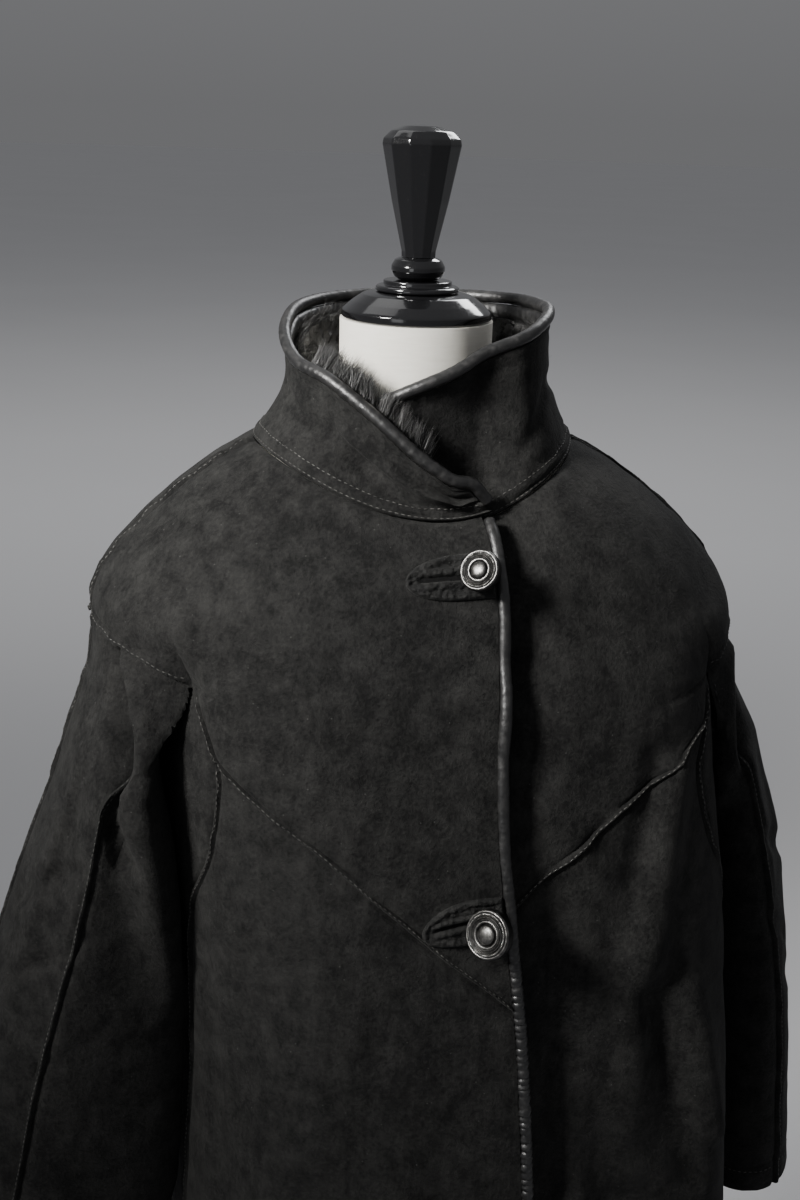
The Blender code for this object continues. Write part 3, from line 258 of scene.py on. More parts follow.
# ---- sizes of the finer detail ----

CLOTH_STEP = 0.0061       # distance between a panel's rows and columns
LONGEST_GAP, SHORTEST_GAP = 1.2, 0.6      # of a step, in the middle of a line
FINE_STEP = 0.0046        # and on the right sleeve, which is nearest to the viewer
EDGE_STEP = 0.0006        # and right beside a seam
EDGE_GROWTH = 1.5         # from the one to the other
LAP_RIDGE = 0.0019        # a lapped edge stands up by this much between its stitches and its rim
LAP_GROOVE = 0.0014       # and its stitches draw it in by this much
STITCH_IN = 0.0056        # from a lapped edge to its stitches
COLLAR_BAND = 0.0125      # from the collar seam to its upper row of stitches
TUCK_DEPTH = 0.0020       # a panel sinks by this much where it slips under a lapped edge
STITCH_PITCH = 0.0048
STITCH_LENGTH = 0.0030
STITCH_RADIUS = 0.00038

# Creases of the body: from one place to another, how wide and how deep (a ridge where negative)
CREASES = table("turn_a z_a turn_b z_b half_width depth", [
    (-58, 1.262, -44, 1.300, 0.018, 0.0022),
    (-24, 1.262, -10, 1.222, 0.026, 0.0016),
    (-36, 1.140, -26, 1.090, 0.024, 0.0018),
    (-20, 1.000, -26, 0.860, 0.020, 0.0030),
    (-8, 0.900, -14, 0.700, 0.018, 0.0026),
    (-44, 1.060, -50, 0.900, 0.022, 0.0028),
    (-62, 1.000, -58, 0.840, 0.018, 0.0024),
    (58, 1.250, 46, 1.290, 0.016, 0.0020),
    (20, 1.160, 30, 1.110, 0.022, -0.0018),
    (40, 1.000, 36, 0.860, 0.020, 0.0028),
    (26, 0.900, 30, 0.720, 0.022, 0.0026),
    (60, 0.980, 62, 0.780, 0.018, 0.0030),
    (12, 0.800, 16, 0.620, 0.018, 0.0020),
    (22, 1.090, 18, 0.840, 0.030, 0.0080),
    (47, 1.175, 38, 1.030, 0.018, -0.0070),
    (37, 1.040, 33, 0.840, 0.022, -0.0080),
    (43, 1.190, 37, 1.090, 0.014, 0.0042),
    (38, 0.995, 44, 0.820, 0.012, 0.0085),
    (45, 1.000, 49, 0.860, 0.016, -0.0075),
    (112, 1.215, 140, 1.235, 0.018, 0.0030),
    (113, 1.190, 132, 1.175, 0.014, 0.0024),
    (150, 1.180, 172, 1.150, 0.028, 0.0020),
    (140, 1.030, 146, 0.880, 0.022, 0.0030),
    (168, 0.980, 164, 0.800, 0.024, 0.0032),
    (-112, 1.212, -138, 1.240, 0.018, 0.0030),
    (-113, 1.188, -130, 1.170, 0.014, 0.0022),
    (-146, 1.172, -168, 1.140, 0.026, 0.0020),
    (-140, 1.020, -147, 0.860, 0.022, 0.0030),
    (-170, 0.940, -174, 0.760, 0.022, 0.0028),
    (-100, 1.090, -96, 0.900, 0.016, 0.0022),
    (96, 1.080, 92, 0.900, 0.016, 0.0022),
])

# Creases of the sleeves: from one angle and height to another
SLEEVE_CREASES = table("side angle_a z_a angle_b z_b half_width depth", [
    ("right", -3, 1.146, -19, 1.098, 0.0130, 0.0090),
    ("right", -2, 1.166, -22, 1.128, 0.0080, -0.0024),
    ("right", 12, 1.090, 70, 1.045, 0.016, 0.0034),
    ("right", 2, 1.030, 48, 0.985, 0.014, 0.0030),
    ("right", 30, 0.960, 84, 0.930, 0.018, 0.0026),
    ("right", -8, 0.940, 30, 0.900, 0.014, 0.0026),
    ("right", 120, 1.080, 170, 1.030, 0.018, 0.0034),
    ("right", 110, 0.990, 160, 0.950, 0.016, 0.0028),
    ("right", 200, 1.060, 250, 1.020, 0.016, 0.0026),
    ("right", 60, 0.850, 110, 0.830, 0.020, 0.0022),
    ("left", 14, 1.080, 66, 1.050, 0.016, 0.0034),
    ("left", 4, 1.010, 44, 0.975, 0.014, 0.0028),
    ("left", 34, 0.940, 88, 0.915, 0.018, 0.0026),
    ("left", 118, 1.070, 168, 1.020, 0.018, 0.0032),
    ("left", 108, 0.970, 156, 0.935, 0.016, 0.0028),
    ("left", 196, 1.050, 246, 1.000, 0.016, 0.0026),
])

SURFACE_SEED = 7
FUR_SEED = 23
SHARP_ANGLE = math.radians(50)
NOISE_DIRECTIONS, NOISE_GAIN = 64, 1.7
PUCKER_SIZE, PUCKER_SEED = 0.011, 31
RIDGE_CHANGE, GROOVE_CHANGE = 0.5, 0.5    # how much the puckers change a seam's ridge and groove
RIDGE_IN, RIDGE_HALF, GROOVE_HALF = 0.0026, 0.0030, 0.0020
RIM_DROP, RIM_ROUND = 0.0018, 0.0014
HEM_DROP, HEM_ROUND, HEM_BAND, CUFF_BAND, HEM_GROOVE_WIDER = 0.0016, 0.0022, 0.0300, 0.0240, 1.5
PUCKER_DEPTH, UNDER_PUCKER, PUCKER_HALF = 0.00065, 0.00045, 0.0120
TUCK_HALF = 0.0055
BAND_IN, BAND_RIDGE, BAND_FULLNESS = 0.0032, 0.0009, 0.7
CORNER_FADE = 0.014
DIP_POWER = 3
UNEVENNESS = [(0.070, 0.0011), (0.030, 0.0007), (0.014, 0.00035)]     # hills this far apart and this high
CREASE_TAPER = 0.35
TRUNK_ARC, SLEEVE_ARC = 0.0036, 0.0016    # metres to a degree, round the trunk and round a sleeve
FLAT_ALLOWANCE = 1.02
STITCH_RINGS = [(0.07, 0.75, -0.35), (0.5, 1.0, 0.45), (0.93, 0.75, -0.35)]    # share, width and rise
STITCH_SIDES, STITCH_SINK = 6, -1.2
CHEST_WIDTH, ARM_WIDTH, BACK_WIDTH, SIDE_WIDTH = 0.26, 0.12, 0.40, 0.17        # for the panels' grids
CAPE_LENGTH, YOKE_LENGTH, YOKE_SIDE_LENGTH, BACK_YOKE_LENGTH = 0.20, 0.12, 0.06, 0.12
LOWER_LENGTH, BACK_LOWER_LENGTH = 0.62, 0.65
SLEEVE_LENGTH, SLEEVE_HALF, SLEEVE_UNDER, SLEEVE_FOLD = 0.55, 0.13, 0.19, 0.05

# The front fold of a sleeve: how it rolls over the front seam, and over which shares of the sleeve
ROLL_HEIGHT, ROLL_ROUND, ROLL_REACH, ROLL_RECESS = 0.0070, 0.0070, 0.0340, 0.0130
ROLL_FROM, ROLL_FULL_TO, ROLL_TO = 0.02, 0.13, 0.17

# The yokes' bend at the level of the sleeve seams is eased over this much, but not right at the borders
EASE_HALF, EASE_NEAR, EASE_SHARE, EASE_CLEAR, EASE_STEP, EASE_SPAN = 0.060, 2.2, 0.92, 0.025, 0.002, 60

# The collar
COLLAR_LENGTH, COLLAR_TALL, COLLAR_STEP = 0.72, 0.10, 0.0040
COLLAR_SOFTNESS = 0.8
COLLAR_ARC = 0.0018
COLLAR_CREASES = table("turn_a height_a turn_b height_b half_width depth", [
    (-54, 0.50, -6, 0.26, 0.0170, 0.0027),
    (-20, 0.24, 16, 0.18, 0.0140, 0.0024),
    (-36, 0.64, 6, 0.50, 0.0190, -0.0075),
    (-84, 0.62, -62, 0.50, 0.0110, 0.0024),
    (-2, 0.70, 10, 0.62, 0.0080, 0.0026),
    (-128, 0.50, -104, 0.42, 0.0120, 0.0022),
    (-190, 0.46, -162, 0.52, 0.0120, 0.0024),
    (-236, 0.55, -212, 0.44, 0.0120, 0.0026),
    (-292, 0.58, -268, 0.40, 0.0110, 0.0030),
    (-318, 0.30, -300, 0.56, 0.0100, 0.0024),
])
BINDING_BED = 0.0010
FACING_SHARES, FACING_COLUMNS, FACING_ROWS = (0.035, 0.975), 560, 9
FACING_TALL, FACING_GAP, FACING_DEPTH, FACING_STITCH = 0.0150, 0.0003, 0.0030, 0.0120
FACING_FOLDS, FACING_COARSE, FACING_FINE = 0.0011, 0.6, 0.3

# Bindings
BINDING_FOOT, FOOT_PLACES, RIM_PLACES = 0.18, 24, 300
BINDING_FROM, BINDING_SHORT_BY, BINDING_DEPTH = 0.012, 0.002, 0.4
BINDING_RING, BINDING_SIDES, BINDING_SWELL = 0.00095, 14, 0.06
WRINKLE_SIZE, WRINKLE_ROUND, WRINKLE_LEAN, WRINKLE_PHASE = 0.0034, 0.5, 0.0012, 0.6
WRINKLE_DEPTH, WRINKLE_FOLD, WRINKLE_SEED = 0.00042, 0.00040, 41
SHARP_SCALE, SHARP_OFFSET, SHARP_MIDDLE, SHARP_DEPTH = 0.7, 5.0, 0.5, 1.6
SWELL_SCALE, RIB_SCALE = 0.12, 0.2
FRONT_WRINKLES, COLLAR_WRINKLES = (0.42, 1.0), (0.4, 0.4)     # over SMOOTH_Z, and under it
SMOOTH_Z = (0.93, 1.10)
END_FADE, END_ROUND, END_LEAST = 0.004, 0.003, 0.02
RIB_PITCH, RIB_DEPTH, RIB_POWER, RIB_MIDDLE, RIB_SHIFT = 0.0064, 0.0017, 0.38, 0.72, 0.0045
RIB_Z = (1.155, 1.0)
OUT_ROUNDS, CORNER_ROUNDS = 6, 10

# Fur
FUR_DEPTH, FUR_ROOT, NECK_CLEAR = 0.009, 0.0005, 0.0602
FUR_SHARES, FUR_COLUMNS, FUR_ROWS, FUR_FOOT, FUR_TOP = (0.05, 0.95), 210, 20, 0.36, 0.88
FUR_LUMPS, FUR_LUMP_SIZE, FUR_SMALL_LUMPS, FUR_TURN_ARC = 0.35, 0.010, 0.4, 0.0018
FUR_FADE, FUR_LEAST = (-0.05, 0.2), 0.35      # how it thickens above its foot
FUR_CLUMPS, CLUMPS_FROM, CLUMP_SPREAD, CLUMP_PULL, CLUMP_LIFT = 1500, 0.3, 0.42, 0.72, 0.35
STRAND_LENGTHS, ROOT_SPREAD, TIP_SPREAD = (0.7, 1.1), 0.25, 0.14
STRAND_RINGS, STRAND_RADIUS = [(0.0, 1.0), (0.55, 0.8)], 0.00019
FUR_PATCHES = table("name count first_share last_share low high length lean", [
    ("fur_strands_right", 7500, 0.03, 0.40, 0.30, 0.90, 0.018, 0.60),
    ("fur_strands_back", 6500, 0.40, 0.70, 0.30, 0.88, 0.014, 0.20),
    ("fur_strands_left", 8500, 0.70, 0.97, 0.30, 0.88, 0.015, 0.30),
    ("fur_tufts", 8500, 0.045, 0.19, 0.70, 1.00, 0.030, 0.85),
])

# Buttonhole patches
PATCH_TIP, PATCH_TIP_LEAST = 0.60, 0.12
PATCH_COLUMNS, PATCH_ROWS = 96, 64
PATCH_LIP, PATCH_WRINKLE, PATCH_SLIT, PATCH_SLIT_SAG, PATCH_RIM = 0.0017, 0.00085, 0.0036, 0.0010, 0.3
EDGE_SWELL, EDGE_SINK, EDGE_BEHIND, EDGE_FLAT = (0.0, 0.0018), 0.75, (0.0026, 0.0060), (0.0, 0.0015)
# The last value: how deep into the slit its faces start to get the near-black painted shade
SLIT_HALF, SLIT_FROM, SLIT_PAINTED_SHADE_FROM = 0.0024, (0.12, 0.20), 0.35
LIP_AT, LIP_HALF, LIP_FROM = 0.0042, 0.0030, (0.08, 0.22)
WRINKLE_FINE, WRINKLE_COARSE, WRINKLE_MIX, WRINKLE_FLAT = 0.0034, 0.0075, 0.8, (1.0, 1.0, 1.6)
PATCH_END_COUNTS, PATCH_LEAST = 1.2, 0.75

# Buttons: rings of the face and rim, as shares of the radius. A rope ring has so many strands.
BUTTON_DOME, BUTTON_SIDES = 0.44, 144
BUTTON_RINGS = table("radius height ropes relief twist look", [
    (0.08, 0.438, 0, 0, 0, "metal"),
    (0.16, 0.430, 0, 0, 0, "metal"),
    (0.24, 0.416, 0, 0, 0, "metal"),
    (0.31, 0.392, 0, 0, 0, "metal"),
    (0.37, 0.354, 0, 0, 0, "metal"),
    (0.405, 0.310, 0, 0, 0, "patina"),
    (0.43, 0.285, 0, 0, 0, "patina"),
    (0.455, 0.300, 0, 0, 0, "patina"),
    (0.475, 0.338, 0, 0, 0, "metal"),
    (0.50, 0.350, 0, 0, 0, "metal"),
    (0.545, 0.350, 0, 0, 0, "metal"),
    (0.565, 0.330, 0, 0, 0, "patina"),
    (0.585, 0.345, 48, 0.010, 0.0, "metal"),
    (0.610, 0.368, 48, 0.014, 0.6, "metal"),
    (0.635, 0.348, 48, 0.010, 1.2, "metal"),
    (0.655, 0.328, 0, 0, 0, "patina"),
    (0.675, 0.350, 0, 0, 0, "metal"),
    (0.700, 0.372, 0, 0, 0, "metal"),
    (0.725, 0.350, 0, 0, 0, "metal"),
    (0.745, 0.325, 0, 0, 0, "patina"),
    (0.770, 0.345, 60, 0.012, 0.0, "metal"),
    (0.800, 0.368, 60, 0.018, 0.8, "metal"),
    (0.835, 0.362, 60, 0.018, 1.6, "metal"),
    (0.865, 0.332, 60, 0.012, 2.4, "metal"),
    (0.885, 0.308, 0, 0, 0, "patina"),
    (0.910, 0.318, 0, 0, 0, "metal"),
    (0.945, 0.308, 0, 0, 0, "metal"),
    (0.975, 0.275, 0, 0, 0, "metal"),
    (0.995, 0.225, 0, 0, 0, "metal"),
    (1.000, 0.180, 0, 0, 0, "patina"),
    (1.000, -0.080, 0, 0, 0, "patina"),
    (0.985, -0.130, 0, 0, 0, "patina"),
    (0.940, -0.175, 0, 0, 0, "patina"),
    (0.860, -0.190, 0, 0, 0, "patina"),
])

# The form and its stand
FORM_LEVELS, FORM_SIDES, LATHE_SIDES = 110, 112, 96
PROFILE_CUT, PROFILE_CUT_MOST, LEAST_RADIUS = 0.0004, 0.3, 0.0002
HANDLE_FLATS, HANDLE_STEP, HANDLE_SIDES, FLATS_END, FLATS_FULL = 12, 0.0015, 144, 0.002, 0.012
CAP_PROFILE = [(0.001, 1.5125), (0.034, 1.5125), (0.042, 1.5105), (0.0500, 1.5050), (0.0560, 1.5000),
               (0.0575, 1.4985), (0.0575, 1.4935), (0.0565, 1.4925), (0.001, 1.4925)]
DISC_PROFILE = [(0.001, 1.5215), (0.0245, 1.5215), (0.0262, 1.5210), (0.0262, 1.5178), (0.0306, 1.5172),
                (0.0320, 1.5160), (0.0320, 1.5138), (0.0310, 1.5128), (0.001, 1.5128)]
RING_PROFILE = [(0.001, 1.5383), (0.0140, 1.5383), (0.0178, 1.5365), (0.0204, 1.5320), (0.0206, 1.5285),
                (0.0182, 1.5240), (0.0150, 1.5218), (0.001, 1.5218)]
POLE_RADIUS = 0.016
BASE_PROFILE = [(0.024, 0.046), (0.030, 0.044), (0.034, 0.038), (0.120, 0.031), (0.158, 0.026), (0.168, 0.018),
                (0.170, 0.010), (0.167, 0.0)]
HANDLE_PROFILE = [(0.0005, 1.6349), (0.014, 1.6336), (0.024, 1.6300), (0.0297, 1.6245), (0.0304, 1.6205),
                  (0.0222, 1.5800), (0.0134, 1.5430), (0.0132, 1.5387)]

# ---- colours, camera and lights ----

MATERIALS = {}
SUEDE_DARK, SUEDE_LIGHT, SUEDE_SHEEN = (0.0028, 0.0028, 0.0027), (0.0240, 0.0238, 0.0225), 0.040
SHEEN_TINT = (0.62, 0.62, 0.60, 1)
PATCH_DARK, PATCH_LIGHT, PATCH_SHEEN = (0.0016, 0.0016, 0.0016), (0.020, 0.020, 0.019), 0.1
PATCH_NAP, PATCH_ROUGH = 0.0004, (0.55, 0.85)
# Near-black colours of the buttonhole slits: painted shade standing in for the depth of the hole
SLIT_PAINTED_SHADE_DARK, SLIT_PAINTED_SHADE_LIGHT = (0.0004, 0.0004, 0.0004), (0.0020, 0.0020, 0.0020)
SCUFF, LINT = (0.075, 0.075, 0.070), (0.16, 0.16, 0.15)
FUR_BLACK, FUR_GREY = (0.0035, 0.0035, 0.0035), (0.150, 0.148, 0.145)
LINEN_AROUND, LINEN_UP = 420, 1150
LINEN_DARK, LINEN_LIGHT, LINEN_SHADE = (0.74, 0.71, 0.63), (0.86, 0.84, 0.77), (0.58, 0.54, 0.46)
DARK_THREAD = (0.030, 0.030, 0.028), (0.095, 0.093, 0.086)
GREY_THREAD = (0.030, 0.029, 0.027), (0.088, 0.086, 0.079)
METAL_DARK, METAL_LIGHT, METAL_ROUGH = (0.075, 0.074, 0.071), (0.23, 0.225, 0.215), (0.30, 0.50)
PATINA_DARK, PATINA_LIGHT, PATINA_ROUGH = (0.012, 0.012, 0.012), (0.040, 0.039, 0.038), (0.35, 0.55)
LEATHER_DARK, LEATHER_LIGHT = (0.008, 0.008, 0.008), (0.030, 0.029, 0.028)
FLEECE_DARK, FLEECE_LIGHT = (0.008, 0.008, 0.008), (0.030, 0.029, 0.028)
LACQUER_BLACK, LACQUER_DUST = (0.0045, 0.0045, 0.005), (0.022, 0.022, 0.022)
FLOOR_DARK, FLOOR_LIGHT = (0.62, 0.62, 0.63), (0.66, 0.66, 0.67)
ZENITH, HORIZON, HORIZON_TOP = (0.23, 0.232, 0.24), (0.150, 0.151, 0.156), 0.30
FLOOR_RADIUS = 60.0

COAT_TURN = math.radians(12.0)
PITCH, ROLL = math.radians(17.57), math.radians(2.0)
CAMERA_X, CAMERA_DISTANCE, CAMERA_Z = -0.005, 1.2, 1.645
SENSOR, FOCAL_PIXELS, PHOTO_HEIGHT = 36.0, 1550, 1200
LIGHTS = table("name x y z to_x to_y to_z width height spread energy colour", [
    ("key", -1.75, -1.40, 2.65, -0.06, -0.05, 1.52, 0.6, 0.6, 36, 9.0, (1.0, 0.985, 0.96)),
    ("top", -0.5, 0.7, 3.0, 0.0, 0.0, 1.3, 1.0, 1.0, 90, 0.8, (1.0, 1.0, 1.0)),
    ("fill", -1.2, -2.2, 1.5, 0.0, 0.0, 1.35, 0.8, 0.8, 90, 0.7, (0.97, 0.98, 1.0)),
    ("back", 1.0, 2.1, 3.1, 0.0, 0.0, 1.0, 1.2, 0.8, 100, 11.0, (0.97, 0.98, 1.0)),
    ("backdrop", 0.0, 3.2, 5.0, 0.0, 10.0, 0.0, 8.0, 2.0, 150, 150, (1.0, 1.0, 1.0)),
])


# ---- the coat's surface, as its solids have it ----

def read(rows, along, name, x):
    """A smooth curve through a table's column, without overshoot, read at x."""
    xs, ys = [np.array([getattr(row, field) for row in rows], float) for field in (along, name)]
    if xs[0] > xs[-1]:
        xs, ys = xs[::-1], ys[::-1]
    slopes = np.diff(ys) / np.diff(xs)
    tangents = np.concatenate([slopes[:1], np.zeros(len(xs) - 2), slopes[-1:]])
    before, after = slopes[:-1], slopes[1:]
    agree = before * after > 0
    tangents[1:-1][agree] = 2 * before[agree] * after[agree] / (before[agree] + after[agree])
    x = np.clip(x, xs[0], xs[-1])
    i = np.clip(np.searchsorted(xs, x) - 1, 0, len(xs) - 2)
    step = xs[i + 1] - xs[i]
    s = (x - xs[i]) / step
    return (ys[i] * (1 + 2 * s) * (1 - s) ** 2 + tangents[i] * step * s * (1 - s) ** 2
            + ys[i + 1] * s * s * (3 - 2 * s) + tangents[i + 1] * step * s * s * (s - 1))


def read_row(rows, x):
    """All the columns after a table's first one, read at a value x of the first."""
    along, *names = rows[0]._fields
    return [read(rows, along, name, x) for name in names]


def smooth(low, high, x):
    s = np.clip((x - low) / (high - low), 0.0, 1.0)
    return s * s * (3 - 2 * s)


def bump(distance, half_width):
    """1 at no distance, falling softly to 0 at the half width."""
    s = np.minimum(np.abs(distance) / half_width, 1.0)
    return (1 - s * s) ** 2


def unit(vectors):
    return vectors / np.maximum(np.linalg.norm(vectors, axis=-1, keepdims=True), 1e-12)


def wrap(turn):
    return (turn + 180.0) % 360.0 - 180.0


def vectors(x, y, z):
    return np.stack(np.broadcast_arrays(x, y, z), axis=-1).astype(float)


def ring_offset(turn, right_width, left_width, front_depth, back_depth, squareness):
    """A point of a superellipse, by its polar angle."""
    s = np.sin(np.radians(turn))
    c = np.cos(np.radians(turn))
    half_width = np.where(s > 0, left_width, right_width)
    depth = np.where(c > 0, front_depth, back_depth)
    radius = (np.abs(s / half_width) ** squareness + np.abs(c / depth) ** squareness) ** (-1 / squareness)
    return radius * s, -radius * c


def cap_height(turn):
    """Height of the sleeve seams' level, which is higher at the arms."""
    ring = CAPE_RINGS[-1]
    s = np.abs(np.sin(np.radians(turn))) ** CAP_POWER
    end_z = np.where(np.abs(wrap(turn)) < 90, ring.front_z, ring.back_z)
    return ring.side_z * s + end_z * (1 - s)


def trunk_point(turn, z):
    *shape, sway = read_row(TRUNK_RINGS, z)
    x, y = ring_offset(turn, *shape)
    out = sum(fold.depth * bump(wrap(turn - fold.turn), fold.half_angle) * smooth(fold.start_z, fold.full_z, z)
              for fold in FOLDS)
    radius = np.hypot(x, y)
    return vectors(x * (1 + out / radius) + sway, y * (1 + out / radius), z)


def arm_point(turn, z):
    """The half ellipse of the shoulder cap, from the front crease to the back one."""
    side = np.where(turn > 0, 1, -1)
    angle = math.pi * (np.abs(turn) - ARM_FRONT_TURN) / (ARM_BACK_TURN - ARM_FRONT_TURN)
    front = trunk_point(side * ARM_FRONT_TURN, z)
    back = trunk_point(side * ARM_BACK_TURN, z)
    reach = CAPE_RINGS[-1].half_width * side + TRUNK_RINGS[0].sway
    base_x = front[..., 0] + (back[..., 0] - front[..., 0]) * (1 - np.cos(angle)) / 2
    x = base_x + (reach - front[..., 0]) * np.sin(angle)
    y = (front[..., 1] + back[..., 1]) / 2 - np.cos(angle) * (back[..., 1] - front[..., 1]) / 2
    return vectors(x, y, z)


def cape_point(turn, drop):
    """The yoke above the sleeve seams: a smooth dome that divides into chest and arms."""
    turn = wrap(turn)
    drop = np.clip(drop, 0.0, 1.0)
    level = drop * CAPE_RINGS[-1].level
    side_z, front_z, back_z, half_width, front_depth, back_depth, squareness = read_row(CAPE_RINGS, level)
    s = np.abs(np.sin(np.radians(turn))) ** (2 + (CAP_POWER - 2) * drop)
    z = side_z * s + np.where(np.abs(turn) < 90, front_z, back_z) * (1 - s)
    x, y = ring_offset(turn, half_width, half_width, front_depth, back_depth, squareness)
    x = x + TRUNK_RINGS[0].sway * drop
    base_z = cap_height(turn)
    in_arm = (np.abs(turn) > ARM_FRONT_TURN) & (np.abs(turn) < ARM_BACK_TURN)
    creased = np.where(in_arm[..., None], arm_point(turn, base_z), trunk_point(turn, base_z))
    crease = smooth(CREASE_FROM, 1.0, drop)
    return vectors(x + (creased[..., 0] - x) * crease, y + (creased[..., 1] - y) * crease, z)


def shell_point(turn, drop, on_trunk=False):
    turn, drop, on_trunk = np.broadcast_arrays(np.asarray(turn, float), np.asarray(drop, float), on_trunk)
    lower = trunk_point(turn, cap_height(turn) - (drop - 1))
    return np.where(((drop > 1) | on_trunk)[..., None], lower, cape_point(turn, drop))


def shell_normal(turn, drop, on_trunk=False):
    """Outward normal. At the sleeve seams' level it lies flat, so that the pieces on both sides agree."""
    def place(a, b):
        return shell_point(a, np.where(on_trunk, np.maximum(b, 1.0), np.maximum(b, 0.0)), on_trunk)

    around = place(turn + TURN_STEP, drop) - place(turn - TURN_STEP, drop)
    down = place(turn, drop + DROP_STEP) - place(turn, drop - DROP_STEP)
    normal = unit(np.cross(down, around))
    flat = bump(drop - 1.0, SEAM_FLAT)
    normal[..., 2] *= 1 - flat
    return unit(normal)


def coat_place(turn, drop, side, on_trunk=False):
    """Points and normals of the outer surface on the wearer's right (side -1), left (+1) or elsewhere (0)."""
    turn, drop, on_trunk = np.broadcast_arrays(np.asarray(turn, float), np.asarray(drop, float), on_trunk)
    around = np.abs(wrap(turn))
    from_edge = np.minimum(np.abs(around - ARM_FRONT_TURN), np.abs(around - ARM_BACK_TURN))
    on_trunk = on_trunk | ((from_edge < ARM_EDGE_NEAR) & (drop >= 1))
    point = shell_point(turn, drop, on_trunk)
    normal = shell_normal(turn, drop, on_trunk)
    across = point[..., 0] - ring_middle(drop, turn)
    if side > 0:
        point = point - normal * (UNDER_DROP * (1 - smooth(UNDER_TO, UNDER_FROM, across)))[..., None]
    if side < 0:
        lift = EDGE_LIFT * smooth(LIFT_FROM, LIFT_TO, across) * smooth(0.0, LIFT_DROP, drop)
        point = point + normal * lift[..., None]
    return point, normal


def ring_middle(drop, turn):
    below = read_row(TRUNK_RINGS, cap_height(turn) - (drop - 1))[-1]
    return np.where(drop <= 1, TRUNK_RINGS[0].sway * drop, below)


def turn_at(across, drop):
    """The turn that lies this far to the left of the middle, on the front."""
    above = read(CAPE_RINGS, "level", "front_depth", drop * CAPE_RINGS[-1].level)
    below = read(TRUNK_RINGS, "z", "front_depth", CAPE_RINGS[-1].front_z - (drop - 1))
    return np.degrees(np.arctan(across / np.where(drop <= 1, above, below)))


def lap_reach(drop):
    return read(LAPS, "drop", "reach", drop)


def drop_at(turn, z):
    return 1 + cap_height(turn) - z


def side_turn(drop, side, name="front_turn"):
    z = cap_height(side * ARM_FRONT_TURN) - (drop - 1)
    above = ARM_FRONT_TURN if name == "front_turn" else ARM_BACK_TURN
    return side * np.where(drop <= 1, above, read(SIDE_SEAMS, "z", name, z))


def yoke_drop(turn, side):
    """The yoke seam of one front. The table's turns are counted away from the middle, to the panel's side."""
    name = "left_z" if side > 0 else "right_z"
    return drop_at(turn, read(YOKE_SEAM, "turn", name, side * turn))


def back_yoke_drop(turn):
    share = (180 - np.abs(wrap(turn))) / (180 - ARM_BACK_TURN)
    z = BACK_YOKE_MIDDLE_Z + (BACK_YOKE_SIDE_Z - BACK_YOKE_MIDDLE_Z) * share ** BACK_YOKE_BEND
    return drop_at(turn, z)


def chest_turn(share, drop, side):
    """Columns of a front, from its edge (share 0) to the crease or side seam (share 1)."""
    edge = turn_at(-side * (lap_reach(drop) - (2 * BINDING_RADIUS if side < 0 else 0)), drop)
    return edge + (side_turn(drop, side) - edge) * share


def chest_seam(share, side):
    """Drop of the yoke seam on the front's columns."""
    drop = np.ones_like(share)
    for _ in range(SEAM_ROUNDS):
        drop = yoke_drop(chest_turn(share, drop, side), side)
    return drop


def back_turn(share, drop):
    left = side_turn(drop, 1, "back_turn")
    right = side_turn(drop, -1, "back_turn") + 360
    return left + (right - left) * share


def back_seam(share):
    drop = np.ones_like(share)
    for _ in range(SEAM_ROUNDS):
        drop = back_yoke_drop(back_turn(share, drop))
    return drop


def underarm_z(turn):
    """Height of the armhole's lower edge, between its front and its back."""
    share = (np.abs(turn) - ARM_FRONT_TURN) / (ARM_BACK_TURN - ARM_FRONT_TURN)
    ends = cap_height(ARM_FRONT_TURN) + (cap_height(ARM_BACK_TURN) - cap_height(ARM_FRONT_TURN)) * share
    return ends - UNDERARM_DIP * np.sin(math.pi * share)


def sleeve_top(angle, side):
    """The top edge: over the outside it follows the yoke, and on the inside the underarm."""
    span = ARM_BACK_TURN - ARM_FRONT_TURN
    angle = angle % 360
    turn = side * (ARM_FRONT_TURN + span * np.minimum(angle, 180) / 180)
    point, normal = coat_place(turn, 1.0, 0)
    outside = point + normal * (UNDERARM_GAP * bump(90 - np.abs(angle - 90), CORNER_ANGLE))[..., None]
    turn = side * (ARM_BACK_TURN - span * (np.maximum(angle, 180) - 180) / 180)
    z = underarm_z(turn)
    level = shell_normal(turn, drop_at(turn, z), True) * np.array([1, 1, 0])
    top = np.where((angle <= 180)[..., None], outside, trunk_point(turn, z) + level * UNDERARM_GAP)
    return top - np.array([0, 0, SLEEVE_DROP])


